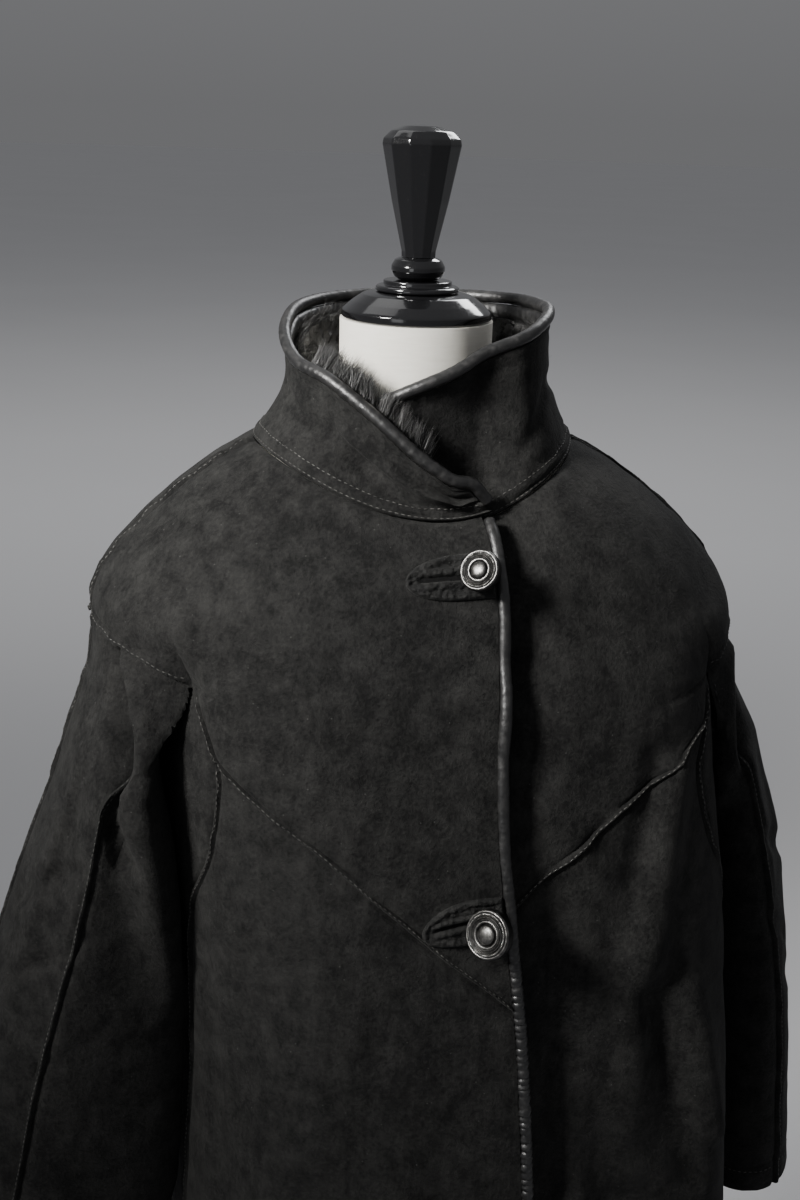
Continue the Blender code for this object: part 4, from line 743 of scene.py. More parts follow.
def sleeve_point(angle, share, side):
    """Angle 0 is the front, 90 the outside, 180 the back and 270 the side next to the body."""
    angle, share = np.broadcast_arrays(np.asarray(angle, float), np.asarray(share, float))
    name = side_name(side)
    top = sleeve_top(angle, side)
    z = top[..., 2] + (CUFF_Z - top[..., 2]) * share
    outer = side * read(SLEEVE_RINGS, "z", "outer_" + name, z)
    inner = side * read(SLEEVE_RINGS, "z", "inner_" + name, z)
    front = read(SLEEVE_RINGS, "z", "front_y", z)
    back = read(SLEEVE_RINGS, "z", "back_y", z)
    middle = (outer + inner) / 2
    s = np.sin(np.radians(angle))
    c = np.cos(np.radians(angle))
    x = middle + (outer - middle) * s
    y = (front + back) / 2 - (back - front) / 2 * c
    for fold in SLEEVE_FOLDS:
        if fold.side == name:
            along = np.clip((fold.top_z - z) / (fold.top_z - fold.bottom_z), 0, 1)
            strength = bump(wrap(angle - fold.angle), fold.half_angle)
            strength = strength * smooth(0, FOLD_RISE, along) * smooth(1, FOLD_FALL, along)
            y = y - fold.forward * strength
            x = x - side * fold.inward * strength
    place, half_width, forward = read_row(SLEEVE_COLUMN, z)
    y = y - (c > 0) * forward * bump(side * x - place - (COLUMN_LEFT if side > 0 else 0), half_width)
    settle = smooth(0.0, SLEEVE_SETTLE, top[..., 2] - z)
    x = top[..., 0] + (x - top[..., 0]) * settle
    y = top[..., 1] + (y - top[..., 1]) * settle
    clearance = UNDERARM_GAP + SLEEVE_CLEARANCE * smooth(0.0, SLEEVE_SETTLE / 2, top[..., 2] - z)
    clear_x, clear_y = clear_of_trunk(x, y, z, clearance)
    x = np.where(share > 0, clear_x, x)
    y = np.where(share > 0, clear_y, y)
    tilt = CUFF_TILT * smooth(TILT_FROM, 1.0, share)
    return vectors(x, y, z + side * (x - middle) * tilt)


def clear_of_trunk(x, y, z, clearance):
    """Moves points straight outward until they lie this far outside the trunk."""
    sway = read(TRUNK_RINGS, "z", "sway", z)
    surface = trunk_point(np.degrees(np.arctan2(x - sway, -y)), z)
    reach = np.hypot(surface[..., 0] - sway, surface[..., 1]) + clearance
    scale = np.maximum(reach / np.hypot(x - sway, y), 1.0)
    return sway + (x - sway) * scale, y * scale


def sleeve_normal(angle, share, side):
    """The mean of the surface's directions on the four sides of a place, because the folds are sharp."""
    here = sleeve_point(angle, share, side)
    total = np.zeros_like(here)
    for way in (-1, 1):
        around = (sleeve_point(angle + way * ANGLE_STEP, share, side) - here) * way
        for downward in (-1, 1):
            beside = np.maximum(share + downward * SHARE_STEP, 0.0)
            down = (sleeve_point(angle, beside, side) - here) * downward
            total += unit(np.cross(down, around))
    normal = unit(total) * side
    normal[..., 2] *= smooth(0.0, SLEEVE_TOP_SHARE, share)
    return unit(normal)


def sleeve_seam_angle(share):
    return read(SLEEVE_SEAM, "share", "angle", share)


def corner_line_angle(share):
    return 360 - ARMPIT_TURN * smooth(0.0, ARMPIT_SHARE, share)


def collar_point(turn, height):
    """Points of the collar's outer surface: height 0 at the seam, 1 at the edge."""
    turn, height = np.broadcast_arrays(np.asarray(turn, float), np.asarray(height, float))
    edge_z = read(COLLAR_ROWS, "turn", "edge_z", turn)
    edge_radius = read(COLLAR_ROWS, "turn", "edge_radius", turn)
    base = np.where((turn < -180)[..., None], coat_place(turn, 0.0, 1)[0], coat_place(turn, 0.0, -1)[0])
    base = base + np.array([0, 0, SEAM_GAP])
    s = np.sin(np.radians(turn))
    c = np.cos(np.radians(turn))
    edge = vectors(edge_radius * s, -edge_radius * c, edge_z - BINDING_RADIUS)
    point = base + (edge - base) * height[..., None]
    outward = unit(point * np.array([1, 1, 0]))
    tall = np.linalg.norm(edge - base, axis=-1) / COLLAR_HEIGHT
    inward = read(COLLAR_ROWS, "turn", "pinch", turn) * np.sin(math.pi * height) * tall
    under = COLLAR_UNDER_DROP * smooth(*COLLAR_UNDER_TURNS, turn)
    inward = inward + under * smooth(0.0, COLLAR_UNDER_SHARE, height)
    for dent in COLLAR_DENTS:
        inward = inward + dent.depth * bump(turn - dent.turn, dent.half_angle) * bump(height - dent.height,
                                                                                      dent.half_height)
    return point - outward * inward[..., None]


def collar_normal(turn, height):
    around = collar_point(turn + TURN_STEP, height) - collar_point(turn - TURN_STEP, height)
    above, below = np.minimum(height + DROP_STEP, 1), np.maximum(height - DROP_STEP, 0)
    up = collar_point(turn, above) - collar_point(turn, below)
    return unit(np.cross(around, up))


def collar_turn(share, height):
    """From the slanted outer end (share 0) round to the inner end (share 1)."""
    first = COLLAR_FOOT_TURN + (COLLAR_ROWS[0].turn - COLLAR_FOOT_TURN) * height
    return first + (COLLAR_ROWS[-1].turn - first) * share


def drop_on_front(z):
    above = read(CAPE_RINGS, "front_z", "level", z) / CAPE_RINGS[-1].level
    return np.where(z <= CAPE_RINGS[-1].front_z, drop_at(0, z), above)


def right_front_place(across, z):
    drop = drop_on_front(z)
    return coat_place(turn_at(across, drop), drop, -1)


def side_name(side):
    return "left" if side > 0 else "right"


# ---- meshes ----

def new_piece(name, vertices, faces, looks, nodes=(), indices=None, recalculate=True):
    """A visible piece of these looks and the nodes that it stands for."""
    mesh = bpy.data.meshes.new(name)
    mesh.from_pydata(np.asarray(vertices, float).tolist(), [], [tuple(map(int, face)) for face in faces])
    for look in looks:
        mesh.materials.append(MATERIALS[look])
    if indices is not None:
        mesh.polygons.foreach_set("material_index", np.asarray(indices, np.int32))
    if recalculate:
        cage = bmesh.new()
        cage.from_mesh(mesh)
        bmesh.ops.recalc_face_normals(cage, faces=cage.faces)
        cage.to_mesh(mesh)
        cage.free()
    mesh.shade_smooth()
    mesh.set_sharp_from_angle(angle=SHARP_ANGLE)
    piece = bpy.data.objects.new(name, mesh)
    bpy.context.scene.collection.objects.link(piece)
    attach(piece, "root")
    if nodes:
        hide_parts(*nodes)
    return piece


def closed_faces(keep):
    """Faces of a closed sheet on a grid: the kept outer ones, the same inside, and the rims between them."""
    rows, columns = keep.shape[0] + 1, keep.shape[1] + 1
    index = np.arange(rows * columns).reshape(rows, columns)
    r, c = np.nonzero(keep)
    outer = np.stack([index[r, c], index[r, c + 1], index[r + 1, c + 1], index[r + 1, c]], axis=1)
    ends = border_edges(keep, index)
    rims = np.stack([ends[:, 0], ends[:, 1], ends[:, 1] + index.size, ends[:, 0] + index.size], axis=1)
    return outer, outer[:, ::-1] + index.size, rims


def border_edges(keep, index):
    """Pairs of neighbouring places with a kept quad on one side only."""
    padded = np.pad(keep, 1)
    flat = padded[:-1, 1:-1] != padded[1:, 1:-1]
    upright = padded[1:-1, :-1] != padded[1:-1, 1:]
    r, c = np.nonzero(flat)
    level = np.stack([index[r, c], index[r, c + 1]], axis=1)
    r, c = np.nonzero(upright)
    return np.concatenate([level, np.stack([index[r, c], index[r + 1, c]], axis=1)])


def tube_faces(rings, sides, start=0):
    """Quads between rings of points, which are numbered one ring after another."""
    return [(near + k, near + (k + 1) % sides, near + sides + (k + 1) % sides, near + sides + k)
            for near in range(start, start + (rings - 1) * sides, sides) for k in range(sides)]


def closed_rings(name, rings, look, nodes):
    """A solid through stacked rings of points, with flat ends."""
    count, sides = len(rings), len(rings[0])
    faces = tube_faces(count, sides) + [tuple(range(sides)), tuple(range((count - 1) * sides, count * sides))]
    return new_piece(name, np.concatenate(rings), faces, [look], nodes)


def hashed_directions(cells, table):
    """One of the table's directions for each cell of a lattice."""
    mixed = cells[..., 0] * 73856093 ^ cells[..., 1] * 19349663 ^ cells[..., 2] * 83492791
    return table[mixed % len(table)]


def soft_noise(points, size, seed=SURFACE_SEED):
    """Smooth hills and hollows between about -1 and 1. They lie about this far apart."""
    table = unit(np.random.default_rng(seed).normal(size=(NOISE_DIRECTIONS, 3)))
    scaled = points / size
    low = np.floor(scaled).astype(np.int64)
    inside = scaled - low
    fade = inside * inside * (3 - 2 * inside)
    total = np.zeros(points.shape[:-1])
    for corner in product((0, 1), repeat=3):
        corner = np.array(corner)
        weight = np.prod(np.where(corner == 1, fade, 1 - fade), axis=-1)
        total += weight * np.sum(hashed_directions(low + corner, table) * (inside - corner), axis=-1)
    return total * NOISE_GAIN


def read_along(at, along, values):
    """Points of a line, given by their distances from its start."""
    return np.stack([np.interp(at, along, values[:, axis]) for axis in range(3)], axis=-1)


def path_lengths(points, axis):
    """Distance along each line of a grid from its first place."""
    steps = np.linalg.norm(np.diff(points, axis=axis), axis=-1)
    start = np.zeros_like(np.take(steps, [0], axis))
    return np.concatenate([start, np.cumsum(steps, axis)], axis)


def graded(length, step=CLOTH_STEP):
    """Places from 0 to 1 along a line, which lie closer together toward its ends."""
    places = [0.0]
    gap = EDGE_STEP
    while places[-1] + gap < length / 2:
        places.append(places[-1] + gap)
        gap = min(gap * EDGE_GROWTH, step)
    half = np.array(places)
    middle = [length / 2] if length - 2 * half[-1] > step * LONGEST_GAP else []
    if length - 2 * half[-1] < step * SHORTEST_GAP:
        half = half[:-1]
    return np.concatenate([half, middle, length - half[::-1]]) / length


# ---- seams ----

def rim(distance, drop=RIM_DROP, size=RIM_ROUND):
    return drop * np.maximum(1 - distance / size, 0) ** 2


def groove(distance, stitches_at, pucker, half=GROOVE_HALF):
    return LAP_GROOVE * (1 + GROOVE_CHANGE * pucker) * bump(distance - stitches_at, half)


def puckers(distance, stitches_at, pucker):
    return PUCKER_DEPTH * pucker * bump(distance - stitches_at, PUCKER_HALF)


def lap_over(distance, pucker):
    """An edge that lies on top: a rounded rim, a ridge behind it, and a groove along its stitches."""
    ridge = LAP_RIDGE * (1 + RIDGE_CHANGE * pucker) * bump(distance - RIDGE_IN, RIDGE_HALF)
    return ridge - groove(distance, STITCH_IN, pucker) - rim(distance) + puckers(distance, STITCH_IN, pucker)


def lap_under(distance, pucker):
    """An edge that slips under another."""
    raised = UNDER_PUCKER * pucker * bump(distance - TUCK_HALF, PUCKER_HALF)
    return raised - TUCK_DEPTH * bump(distance, TUCK_HALF)


def lap_band(distance, pucker):
    """The collar's lower edge: two rows of stitches with a rounded ridge between them."""
    grooves = groove(distance, BAND_IN, pucker), groove(distance, COLLAR_BAND, pucker)
    across = distance - (BAND_IN + COLLAR_BAND) / 2
    ridge = BAND_RIDGE * (1 + GROOVE_CHANGE * pucker) * bump(across, (COLLAR_BAND - BAND_IN) * BAND_FULLNESS)
    return ridge - grooves[0] - grooves[1] - rim(distance) + puckers(distance, COLLAR_BAND, pucker)


def turned_edge(distance, pucker):
    """A hem or cuff: a soft round edge with a row of stitches."""
    seam = groove(distance, HEM_BAND, pucker, GROOVE_HALF * HEM_GROOVE_WIDER)
    return -rim(distance, HEM_DROP, HEM_ROUND) - seam + puckers(distance, HEM_BAND, pucker)


def plain_edge(distance, pucker):
    return np.zeros_like(distance)


# ---- panels ----

Panel = namedtuple("Panel", "outer normals last_row first_column last_column")


def border_distances(points, last_row, first_column, last_column):
    """How far each place of a grid lies from its borders, along the grid's lines."""
    rows, columns = points.shape[:2]
    down = path_lengths(points, 0)
    across = path_lengths(points, 1)
    each_row, each_column = np.arange(rows), np.arange(columns)
    return {
        "top": down,
        "bottom": np.abs(down[last_row, each_column][None, :] - down),
        "first": np.abs(across - across[each_row, first_column][:, None]),
        "last": np.abs(across[each_row, last_column][:, None] - across),
    }


def build_panel(name, replaces, points, normals, edges, creases, last_row=None, first_column=None,
                last_column=None, softness=1.0, rolled=None):
    """A closed sheet on a grid. edges has the seam at each border, and creases the depth at each place."""
    rows, columns = points.shape[:2]
    last_row = np.full(columns, rows - 1) if last_row is None else last_row
    first_column = np.zeros(rows, int) if first_column is None else first_column
    last_column = np.full(rows, columns - 1) if last_column is None else last_column
    limits = last_row, first_column, last_column
    distances = border_distances(points, *limits)
    pucker = soft_noise(points, PUCKER_SIZE, PUCKER_SEED)
    height = -creases
    for size, depth in UNEVENNESS:
        height = height + softness * depth * soft_noise(points, size)
    for border, seam in edges.items():
        height = height + seam(distances[border], pucker) * corner_fade(distances, border, *limits)
    if rolled:
        height = height + rolled(distances)
    outer = points + normals * height[..., None]
    inner = points + normals * (np.minimum(height, 0) - WALL)[..., None]
    keep = np.arange(rows - 1)[:, None] < np.minimum(last_row[:-1], last_row[1:])[None, :]
    groups = closed_faces(keep)
    indices = np.repeat([0, 1, 0], [len(group) for group in groups])
    used, packed = np.unique(np.concatenate(groups), return_inverse=True)
    vertices = np.concatenate([outer.reshape(-1, 3), inner.reshape(-1, 3)])[used]
    piece = new_piece(name, vertices, packed.reshape(-1, 4), ["suede", "fleece"], [replaces], indices)
    piece["flat_width"] = float(longest_line(outer, 1, keep))
    piece["flat_length"] = float(longest_line(outer, 0, keep))
    piece["flat_area"] = float(quad_areas(outer, *np.nonzero(keep)))
    return piece, Panel(outer, normals, *limits)


def corner_fade(distances, border, last_row, first_column, last_column):
    """A seam fades out beside the inner corner of an L-shaped panel."""
    fade = np.ones_like(distances["top"])
    rows, columns = fade.shape
    step = last_row.min()
    if step == rows - 1:
        return fade
    if border in ("first", "last"):
        limit = (first_column if border == "first" else last_column)
        stepped = limit != limit[0]
        below = smooth(0.0, CORNER_FADE, distances["top"] - distances["top"][step])
        return np.where(stepped[:, None] & (np.arange(rows)[:, None] > step), below, fade)
    if border == "bottom":
        across = distances["first"]
        short = last_row == step
        full = np.nonzero(~short)[0]
        for edge in (full[0], full[-1]):
            near = smooth(0.0, CORNER_FADE, np.abs(across - across[:, edge:edge + 1]))
            fade = np.where(short[None, :], np.minimum(fade, near), fade)
    return fade


def longest_line(points, axis, keep):
    steps = np.linalg.norm(np.diff(points, axis=axis), axis=-1)
    kept = np.pad(keep, ((0, 1), (0, 0))) if axis == 1 else np.pad(keep, ((0, 0), (0, 1)))
    return (steps * kept).sum(axis=axis).max() * FLAT_ALLOWANCE


def quad_areas(points, r, c):
    one = np.cross(points[r, c + 1] - points[r, c], points[r + 1, c] - points[r, c])
    other = np.cross(points[r, c + 1] - points[r + 1, c + 1], points[r + 1, c] - points[r + 1, c + 1])
    return (np.linalg.norm(one, axis=-1).sum() + np.linalg.norm(other, axis=-1).sum()) / 2


# ---- stitches ----

def seam_line(panel, border, inset, span=slice(None)):
    """Places on a panel at a distance from one of its borders."""
    down = border in ("top", "bottom")
    rows, columns = panel.outer.shape[:2]
    lines = range(columns if down else rows)[span]
    points, normals = [], []
    for k in lines:
        if down:
            line = (slice(0, panel.last_row[k] + 1), k)
        else:
            line = (k, slice(panel.first_column[k], panel.last_column[k] + 1))
        at = panel.outer[line]
        along = path_lengths(at, 0)
        if along[-1] <= inset:
            continue
        target = inset if border in ("top", "first") else along[-1] - inset
        points.append(read_along(target, along, at))
        normals.append(read_along(target, along, panel.normals[line]))
    return np.array(points), np.array(normals)


def stitches_on(line):
    """Starts, ends and normals of the stitches along a line of places."""
    points, normals = line
    along = path_lengths(points, 0)
    count = int((along[-1] - STITCH_PITCH) / STITCH_PITCH)
    starts = (along[-1] - count * STITCH_PITCH) / 2 + STITCH_PITCH * np.arange(count)
    first, last = [read_along(at, along, points) for at in (starts, starts + STITCH_LENGTH)]
    return first, last, unit(read_along(starts + STITCH_LENGTH / 2, along, normals))


def build_stitches(name, lines, look):
    """Each stitch is a short thread that rises out of the cloth and goes back in."""
    starts, ends, normals = [np.concatenate(parts) for parts in zip(*[stitches_on(line) for line in lines])]
    along = unit(ends - starts)
    across = np.cross(normals, along)
    length = np.linalg.norm(ends - starts, axis=1)[:, None]
    rings = []
    for share, wide, rise in STITCH_RINGS:
        middle = starts + along * length * share + normals * STITCH_RADIUS * rise
        for k in range(STITCH_SIDES):
            turn = 2 * math.pi * k / STITCH_SIDES
            rings.append(middle + (across * math.cos(turn) + normals * math.sin(turn)) * STITCH_RADIUS * wide)
    poles = [starts + normals * STITCH_RADIUS * STITCH_SINK, ends + normals * STITCH_RADIUS * STITCH_SINK]
    points = np.stack(rings + poles, axis=1)
    faces = capsule_faces(STITCH_SIDES, len(STITCH_RINGS))
    size = points.shape[1]
    all_faces = [tuple(k * size + i for i in face) for k in range(len(points)) for face in faces]
    return new_piece(name, points.reshape(-1, 3), all_faces, [look])


def capsule_faces(sides, rings):
    faces = tube_faces(rings, sides)
    first, last = rings * sides, rings * sides + 1
    for k in range(sides):
        faces.append((first, (k + 1) % sides, k))
        faces.append((last, (rings - 1) * sides + k, (rings - 1) * sides + (k + 1) % sides))
    return faces


# ---- creases ----

def crease_depth(u, v, crease, u_scale):
    """Depth at places (u, v) of a crease that runs from one place to another."""
    u_a, v_a, u_b, v_b, half_width, depth = crease
    start = np.array([u_a * u_scale, v_a])
    way = np.array([u_b * u_scale, v_b]) - start
    at = np.stack([u * u_scale, v], axis=-1) - start
    share = np.clip(at @ way / (way @ way), 0, 1)
    off = np.linalg.norm(at - share[..., None] * way, axis=-1)
    taper = smooth(-CREASE_TAPER, CREASE_TAPER, share) * smooth(1 + CREASE_TAPER, 1 - CREASE_TAPER, share)
    return depth * bump(off, half_width) * np.minimum(taper * 2, 1)


def crease_depths(turn, z, creases, arc):
    """Depth of all creases at places that may be a whole turn away from the tables' numbers."""
    total = np.zeros(np.broadcast(turn, z).shape)
    for crease in creases:
        middle = (crease[0] + crease[2]) / 2
        total = total + crease_depth(middle + wrap(turn - middle), z, crease, arc)
    return total


def body_creases(turn, drop):
    return crease_depths(turn, cap_height(turn) - (drop - 1), CREASES, TRUNK_ARC)


def sleeve_creases(angle, z, side):
    rows = [row[1:] for row in SLEEVE_CREASES if row.side == side_name(side)]
    return crease_depths(angle, z, rows, SLEEVE_ARC)


def fold_edge(distance):
    """The front fold's rounded edge, which comes up out of the sleeve's front seam and stands over it."""
    rise = np.sqrt(np.clip(1 - (1 - np.minimum(distance / ROLL_ROUND, 1.0)) ** 2, 0, 1))
    return -ROLL_RECESS + (ROLL_RECESS + ROLL_HEIGHT * smooth(ROLL_REACH, ROLL_ROUND, distance)) * rise


def eased(points, normals, row, share):
    """Rounds a yoke's break at a row. Nothing moves at share 1 across it, or at its lower border."""
    along = path_lengths(points, 0)
    free = smooth(1.0, EASE_SHARE, share) * smooth(0.0, EASE_CLEAR, along[-1:] - along)
    results = points.copy(), normals.copy()
    kernel_at = np.arange(-EASE_SPAN, EASE_SPAN + 1) * EASE_STEP
    kernel = np.exp(-0.5 * (kernel_at / (EASE_HALF / 2)) ** 2)
    kernel /= kernel.sum()
    for c, (values, result) in product(range(points.shape[1]), zip((points, normals), results)):
        at = along[:, c]
        fine = np.arange(0, at[-1] + EASE_STEP, EASE_STEP)
        near = bump(at - at[row], EASE_NEAR * EASE_HALF) * free[:, c]
        for axis in range(3):
            line = np.interp(fine, at, values[:, c, axis])
            before, after = 2 * line[0] - line[EASE_SPAN:0:-1], 2 * line[-1] - line[-2:-EASE_SPAN - 2:-1]
            longer = np.concatenate([before, line, after])
            softened = np.interp(at, fine, np.convolve(longer, kernel, mode="valid"))
            result[:, c, axis] += (softened - values[:, c, axis]) * near
    return results[0], unit(results[1])


# ---- the body's panels ----

def yoke_drops(cape, yoke, seam):
    """Drops of a yoke's places, down to the shoulder's edge and from there to the seam."""
    above = np.repeat(cape[:, None], len(seam), 1)
    return np.concatenate([above, 1 + (seam - 1)[None, :] * yoke[1:, None]])


def build_front_yoke(side):
    """From the front edge round the chest and over the shoulder to the shoulder seam."""
    chest, arm, cape, yoke = [graded(length) for length in (CHEST_WIDTH, ARM_WIDTH, CAPE_LENGTH, YOKE_LENGTH)]
    seam = chest_seam(chest, side)
    drops = yoke_drops(cape, yoke, seam)
    turns = chest_turn(chest[None, :], drops, side)
    step = len(cape) - 1
    on_trunk = (chest[None, :] == 1) & (drops >= 1)
    arm_turns = side * (ARM_FRONT_TURN + (SHOULDER_TURN - ARM_FRONT_TURN) * arm[1:])
    arm_drops = np.minimum(drops[:, -1:], 1.0) + 0 * arm_turns[None, :]
    turns = np.concatenate([turns, arm_turns[None, :] + 0 * arm_drops], axis=1)
    drops = np.concatenate([drops, arm_drops], axis=1)
    on_trunk = np.concatenate([on_trunk, np.zeros(arm_drops.shape, bool)], axis=1)
    rows, columns = drops.shape
    last_row = np.where(np.arange(columns) < len(chest), rows - 1, step)
    last_column = np.where(np.arange(rows) <= step, columns - 1, len(chest) - 1)
    points, normals = coat_place(turns, drops, side, on_trunk)
    share = np.concatenate([chest, np.ones(len(arm) - 1)])[None, :]
    points, normals = eased(points, normals, step, share)
    front = turned_edge if side > 0 else plain_edge
    edges = {"top": lap_under, "bottom": lap_over, "last": lap_over, "first": front}
    name = side_name(side)
    piece, panel = build_panel("yoke_panel_" + name, "front_yoke_" + name, points, normals, edges,
                               body_creases(turns, drops), last_row=last_row, last_column=last_column)
    lines = [seam_line(panel, "bottom", STITCH_IN, slice(0, len(chest))),
             seam_line(panel, "bottom", STITCH_IN, slice(len(chest), columns)),
             seam_line(panel, "last", STITCH_IN, slice(0, step)),
             seam_line(panel, "last", STITCH_IN, slice(step + 1, rows))]
    return piece, panel, lines


def lower_grid(seam, shares, rows, turn_of):
    """Turns and drops between a yoke seam and the hem."""
    top = seam[None, :]
    drops = top + (drop_at(90, HEM_Z) - top) * rows[:, None]
    turns = turn_of(shares[None, :], drops)
    drops = top + (drop_at(turns, HEM_Z) - top) * rows[:, None]
    return turn_of(shares[None, :], drops), drops


def build_front_lower(side):
    shares, rows = graded(CHEST_WIDTH), graded(LOWER_LENGTH)
    turns, drops = lower_grid(chest_seam(shares, side), shares, rows,
                              lambda share, drop: chest_turn(share, drop, side))
    points, normals = coat_place(turns, drops, side, np.broadcast_to(shares[None, :] == 1, drops.shape))
    front = turned_edge if side > 0 else plain_edge
    edges = {"top": lap_under, "bottom": turned_edge, "last": lap_over, "first": front}
    name = side_name(side)
    piece, panel = build_panel("lower_panel_" + name, "front_lower_" + name, points, normals, edges,
                               body_creases(turns, drops))
    return piece, panel, [seam_line(panel, "last", STITCH_IN), seam_line(panel, "bottom", HEM_BAND)]


def side_edges(side, name, yoke, lower):
    at_seam = chest_seam(np.array([1.0]), side) if name == "front_turn" else back_seam(np.array([0.0]))
    seam = float(at_seam[0])
    above = 1 + (seam - 1) * yoke[:-1]
    below = seam + (drop_at(90, HEM_Z) - seam) * lower
    below = seam + (drop_at(side_turn(below, side, name), HEM_Z) - seam) * lower
    drops = np.concatenate([above, below])
    return side_turn(drops, side, name), drops


def build_side_panel(side):
    yoke, lower = graded(YOKE_SIDE_LENGTH), graded(LOWER_LENGTH)
    front, front_drop = side_edges(side, "front_turn", yoke, lower)
    back, back_drop = side_edges(side, "back_turn", yoke, lower)
    shares = graded(SIDE_WIDTH)
    turns = front[:, None] + (back - front)[:, None] * shares[None, :]
    front_z = cap_height(front) + 1 - front_drop
    back_z = cap_height(back) + 1 - back_drop
    fall = (1 - np.linspace(0, 1, len(front))) ** DIP_POWER
    fall = np.interp(front_z, np.linspace(front_z[-1], front_z[0], len(front)), fall[::-1])
    dip = UNDERARM_DIP * np.sin(math.pi * shares)[None, :] * fall[:, None]
    z = front_z[:, None] + (back_z - front_z)[:, None] * shares[None, :] - dip
    z[0] = underarm_z(turns[0])
    drops = drop_at(turns, z)
    points, normals = coat_place(turns, drops, 0, np.ones(drops.shape, bool))
    edges = {"top": lap_under, "bottom": turned_edge, "first": lap_under, "last": lap_under}
    name = side_name(side)
    piece, panel = build_panel("side_panel_" + name, "side_" + name, points, normals, edges,
                               body_creases(turns, drops))
    return piece, panel, [seam_line(panel, "bottom", HEM_BAND)]


def build_back_yoke():
    lengths = BACK_WIDTH, ARM_WIDTH, CAPE_LENGTH, BACK_YOKE_LENGTH
    back, arm, cape, yoke = [graded(length) for length in lengths]
    drops = yoke_drops(cape, yoke, back_seam(back))
    turns = back_turn(back[None, :], drops)
    at_edge = (back == 0) | (back == 1)
    on_trunk = at_edge[None, :] & (drops >= 1)
    arm_drops = np.minimum(drops[:, :1], 1.0) + np.zeros((1, len(arm) - 1))
    left = SHOULDER_TURN + (ARM_BACK_TURN - SHOULDER_TURN) * arm[:-1]
    right = 360 - ARM_BACK_TURN + (ARM_BACK_TURN - SHOULDER_TURN) * arm[1:]
    turns = np.concatenate([left[None, :] + 0 * arm_drops, turns, right[None, :] + 0 * arm_drops], axis=1)
    drops = np.concatenate([arm_drops, drops, arm_drops], axis=1)
    off = np.zeros(arm_drops.shape, bool)
    on_trunk = np.concatenate([off, on_trunk, off], axis=1)
    rows, columns = drops.shape
    step, first, last = len(cape) - 1, len(arm) - 1, len(arm) - 2 + len(back)
    each = np.arange(columns)
    last_row = np.where((each >= first) & (each <= last), rows - 1, step)
    first_column = np.where(np.arange(rows) <= step, 0, first)
    last_column = np.where(np.arange(rows) <= step, columns - 1, last)
    points, normals = coat_place(turns, drops, 0, on_trunk)
    share = np.abs(np.interp(each, [first, last], [-1, 1]))[None, :]
    points, normals = eased(points, normals, step, share)
    edges = {"top": lap_under, "bottom": lap_over, "first": lap_over, "last": lap_over}
    piece, panel = build_panel("yoke_panel_back", "back_yoke", points, normals, edges,
                               body_creases(turns, drops), last_row, first_column, last_column)
    lines = [seam_line(panel, "bottom", STITCH_IN, slice(first, last + 1)),
             seam_line(panel, "bottom", STITCH_IN, slice(0, first)),
             seam_line(panel, "bottom", STITCH_IN, slice(last + 1, columns)),
             seam_line(panel, "first", STITCH_IN, slice(step + 1, rows)),
             seam_line(panel, "last", STITCH_IN, slice(step + 1, rows))]
    return piece, panel, lines


def build_back_lower():
    shares, rows = graded(BACK_WIDTH), graded(BACK_LOWER_LENGTH)
    turns, drops = lower_grid(back_seam(shares), shares, rows, back_turn)
    at_edge = (shares == 0) | (shares == 1)
    points, normals = coat_place(turns, drops, 0, np.broadcast_to(at_edge[None, :], drops.shape))
    edges = {"top": lap_under, "bottom": turned_edge, "first": lap_over, "last": lap_over}
    piece, panel = build_panel("lower_panel_back", "back_lower", points, normals, edges,
                               body_creases(turns, drops))
    return piece, panel, [seam_line(panel, "first", STITCH_IN), seam_line(panel, "last", STITCH_IN),
                          seam_line(panel, "bottom", HEM_BAND)]


# ---- the sleeves ----

def sleeve_grid(side, part):
    step = CLOTH_STEP if side > 0 else FINE_STEP
    shares = graded(SLEEVE_LENGTH, step)
    seam = sleeve_seam_angle(shares)[:, None]
    half = graded(SLEEVE_HALF, step)[None, :]
    if part == "front":
        return shares, seam + (90 - seam) * half
    corner = corner_line_angle(shares)[:, None]
    under, fold = graded(SLEEVE_UNDER, step)[None, 1:], graded(SLEEVE_FOLD, step)[None, 1:]
    return shares, np.concatenate([90 + 90 * half + 0 * seam, 180 + (corner - 180) * under,
                                   corner + (360 + seam - corner) * fold], axis=1)


def sleeve_places(angle, share, side):
    share = np.broadcast_to(share, angle.shape)
    point = sleeve_point(angle, share, side)
    normal = sleeve_normal(angle, share, side)
    around = angle % 360
    turn = side * (ARM_FRONT_TURN + (ARM_BACK_TURN - ARM_FRONT_TURN) * np.clip(around, 0, 180) / 180)
    on_cap = (share == 0) & (around < 180)
    return point, np.where(on_cap[..., None], coat_place(turn, 1.0, 0)[1], normal)


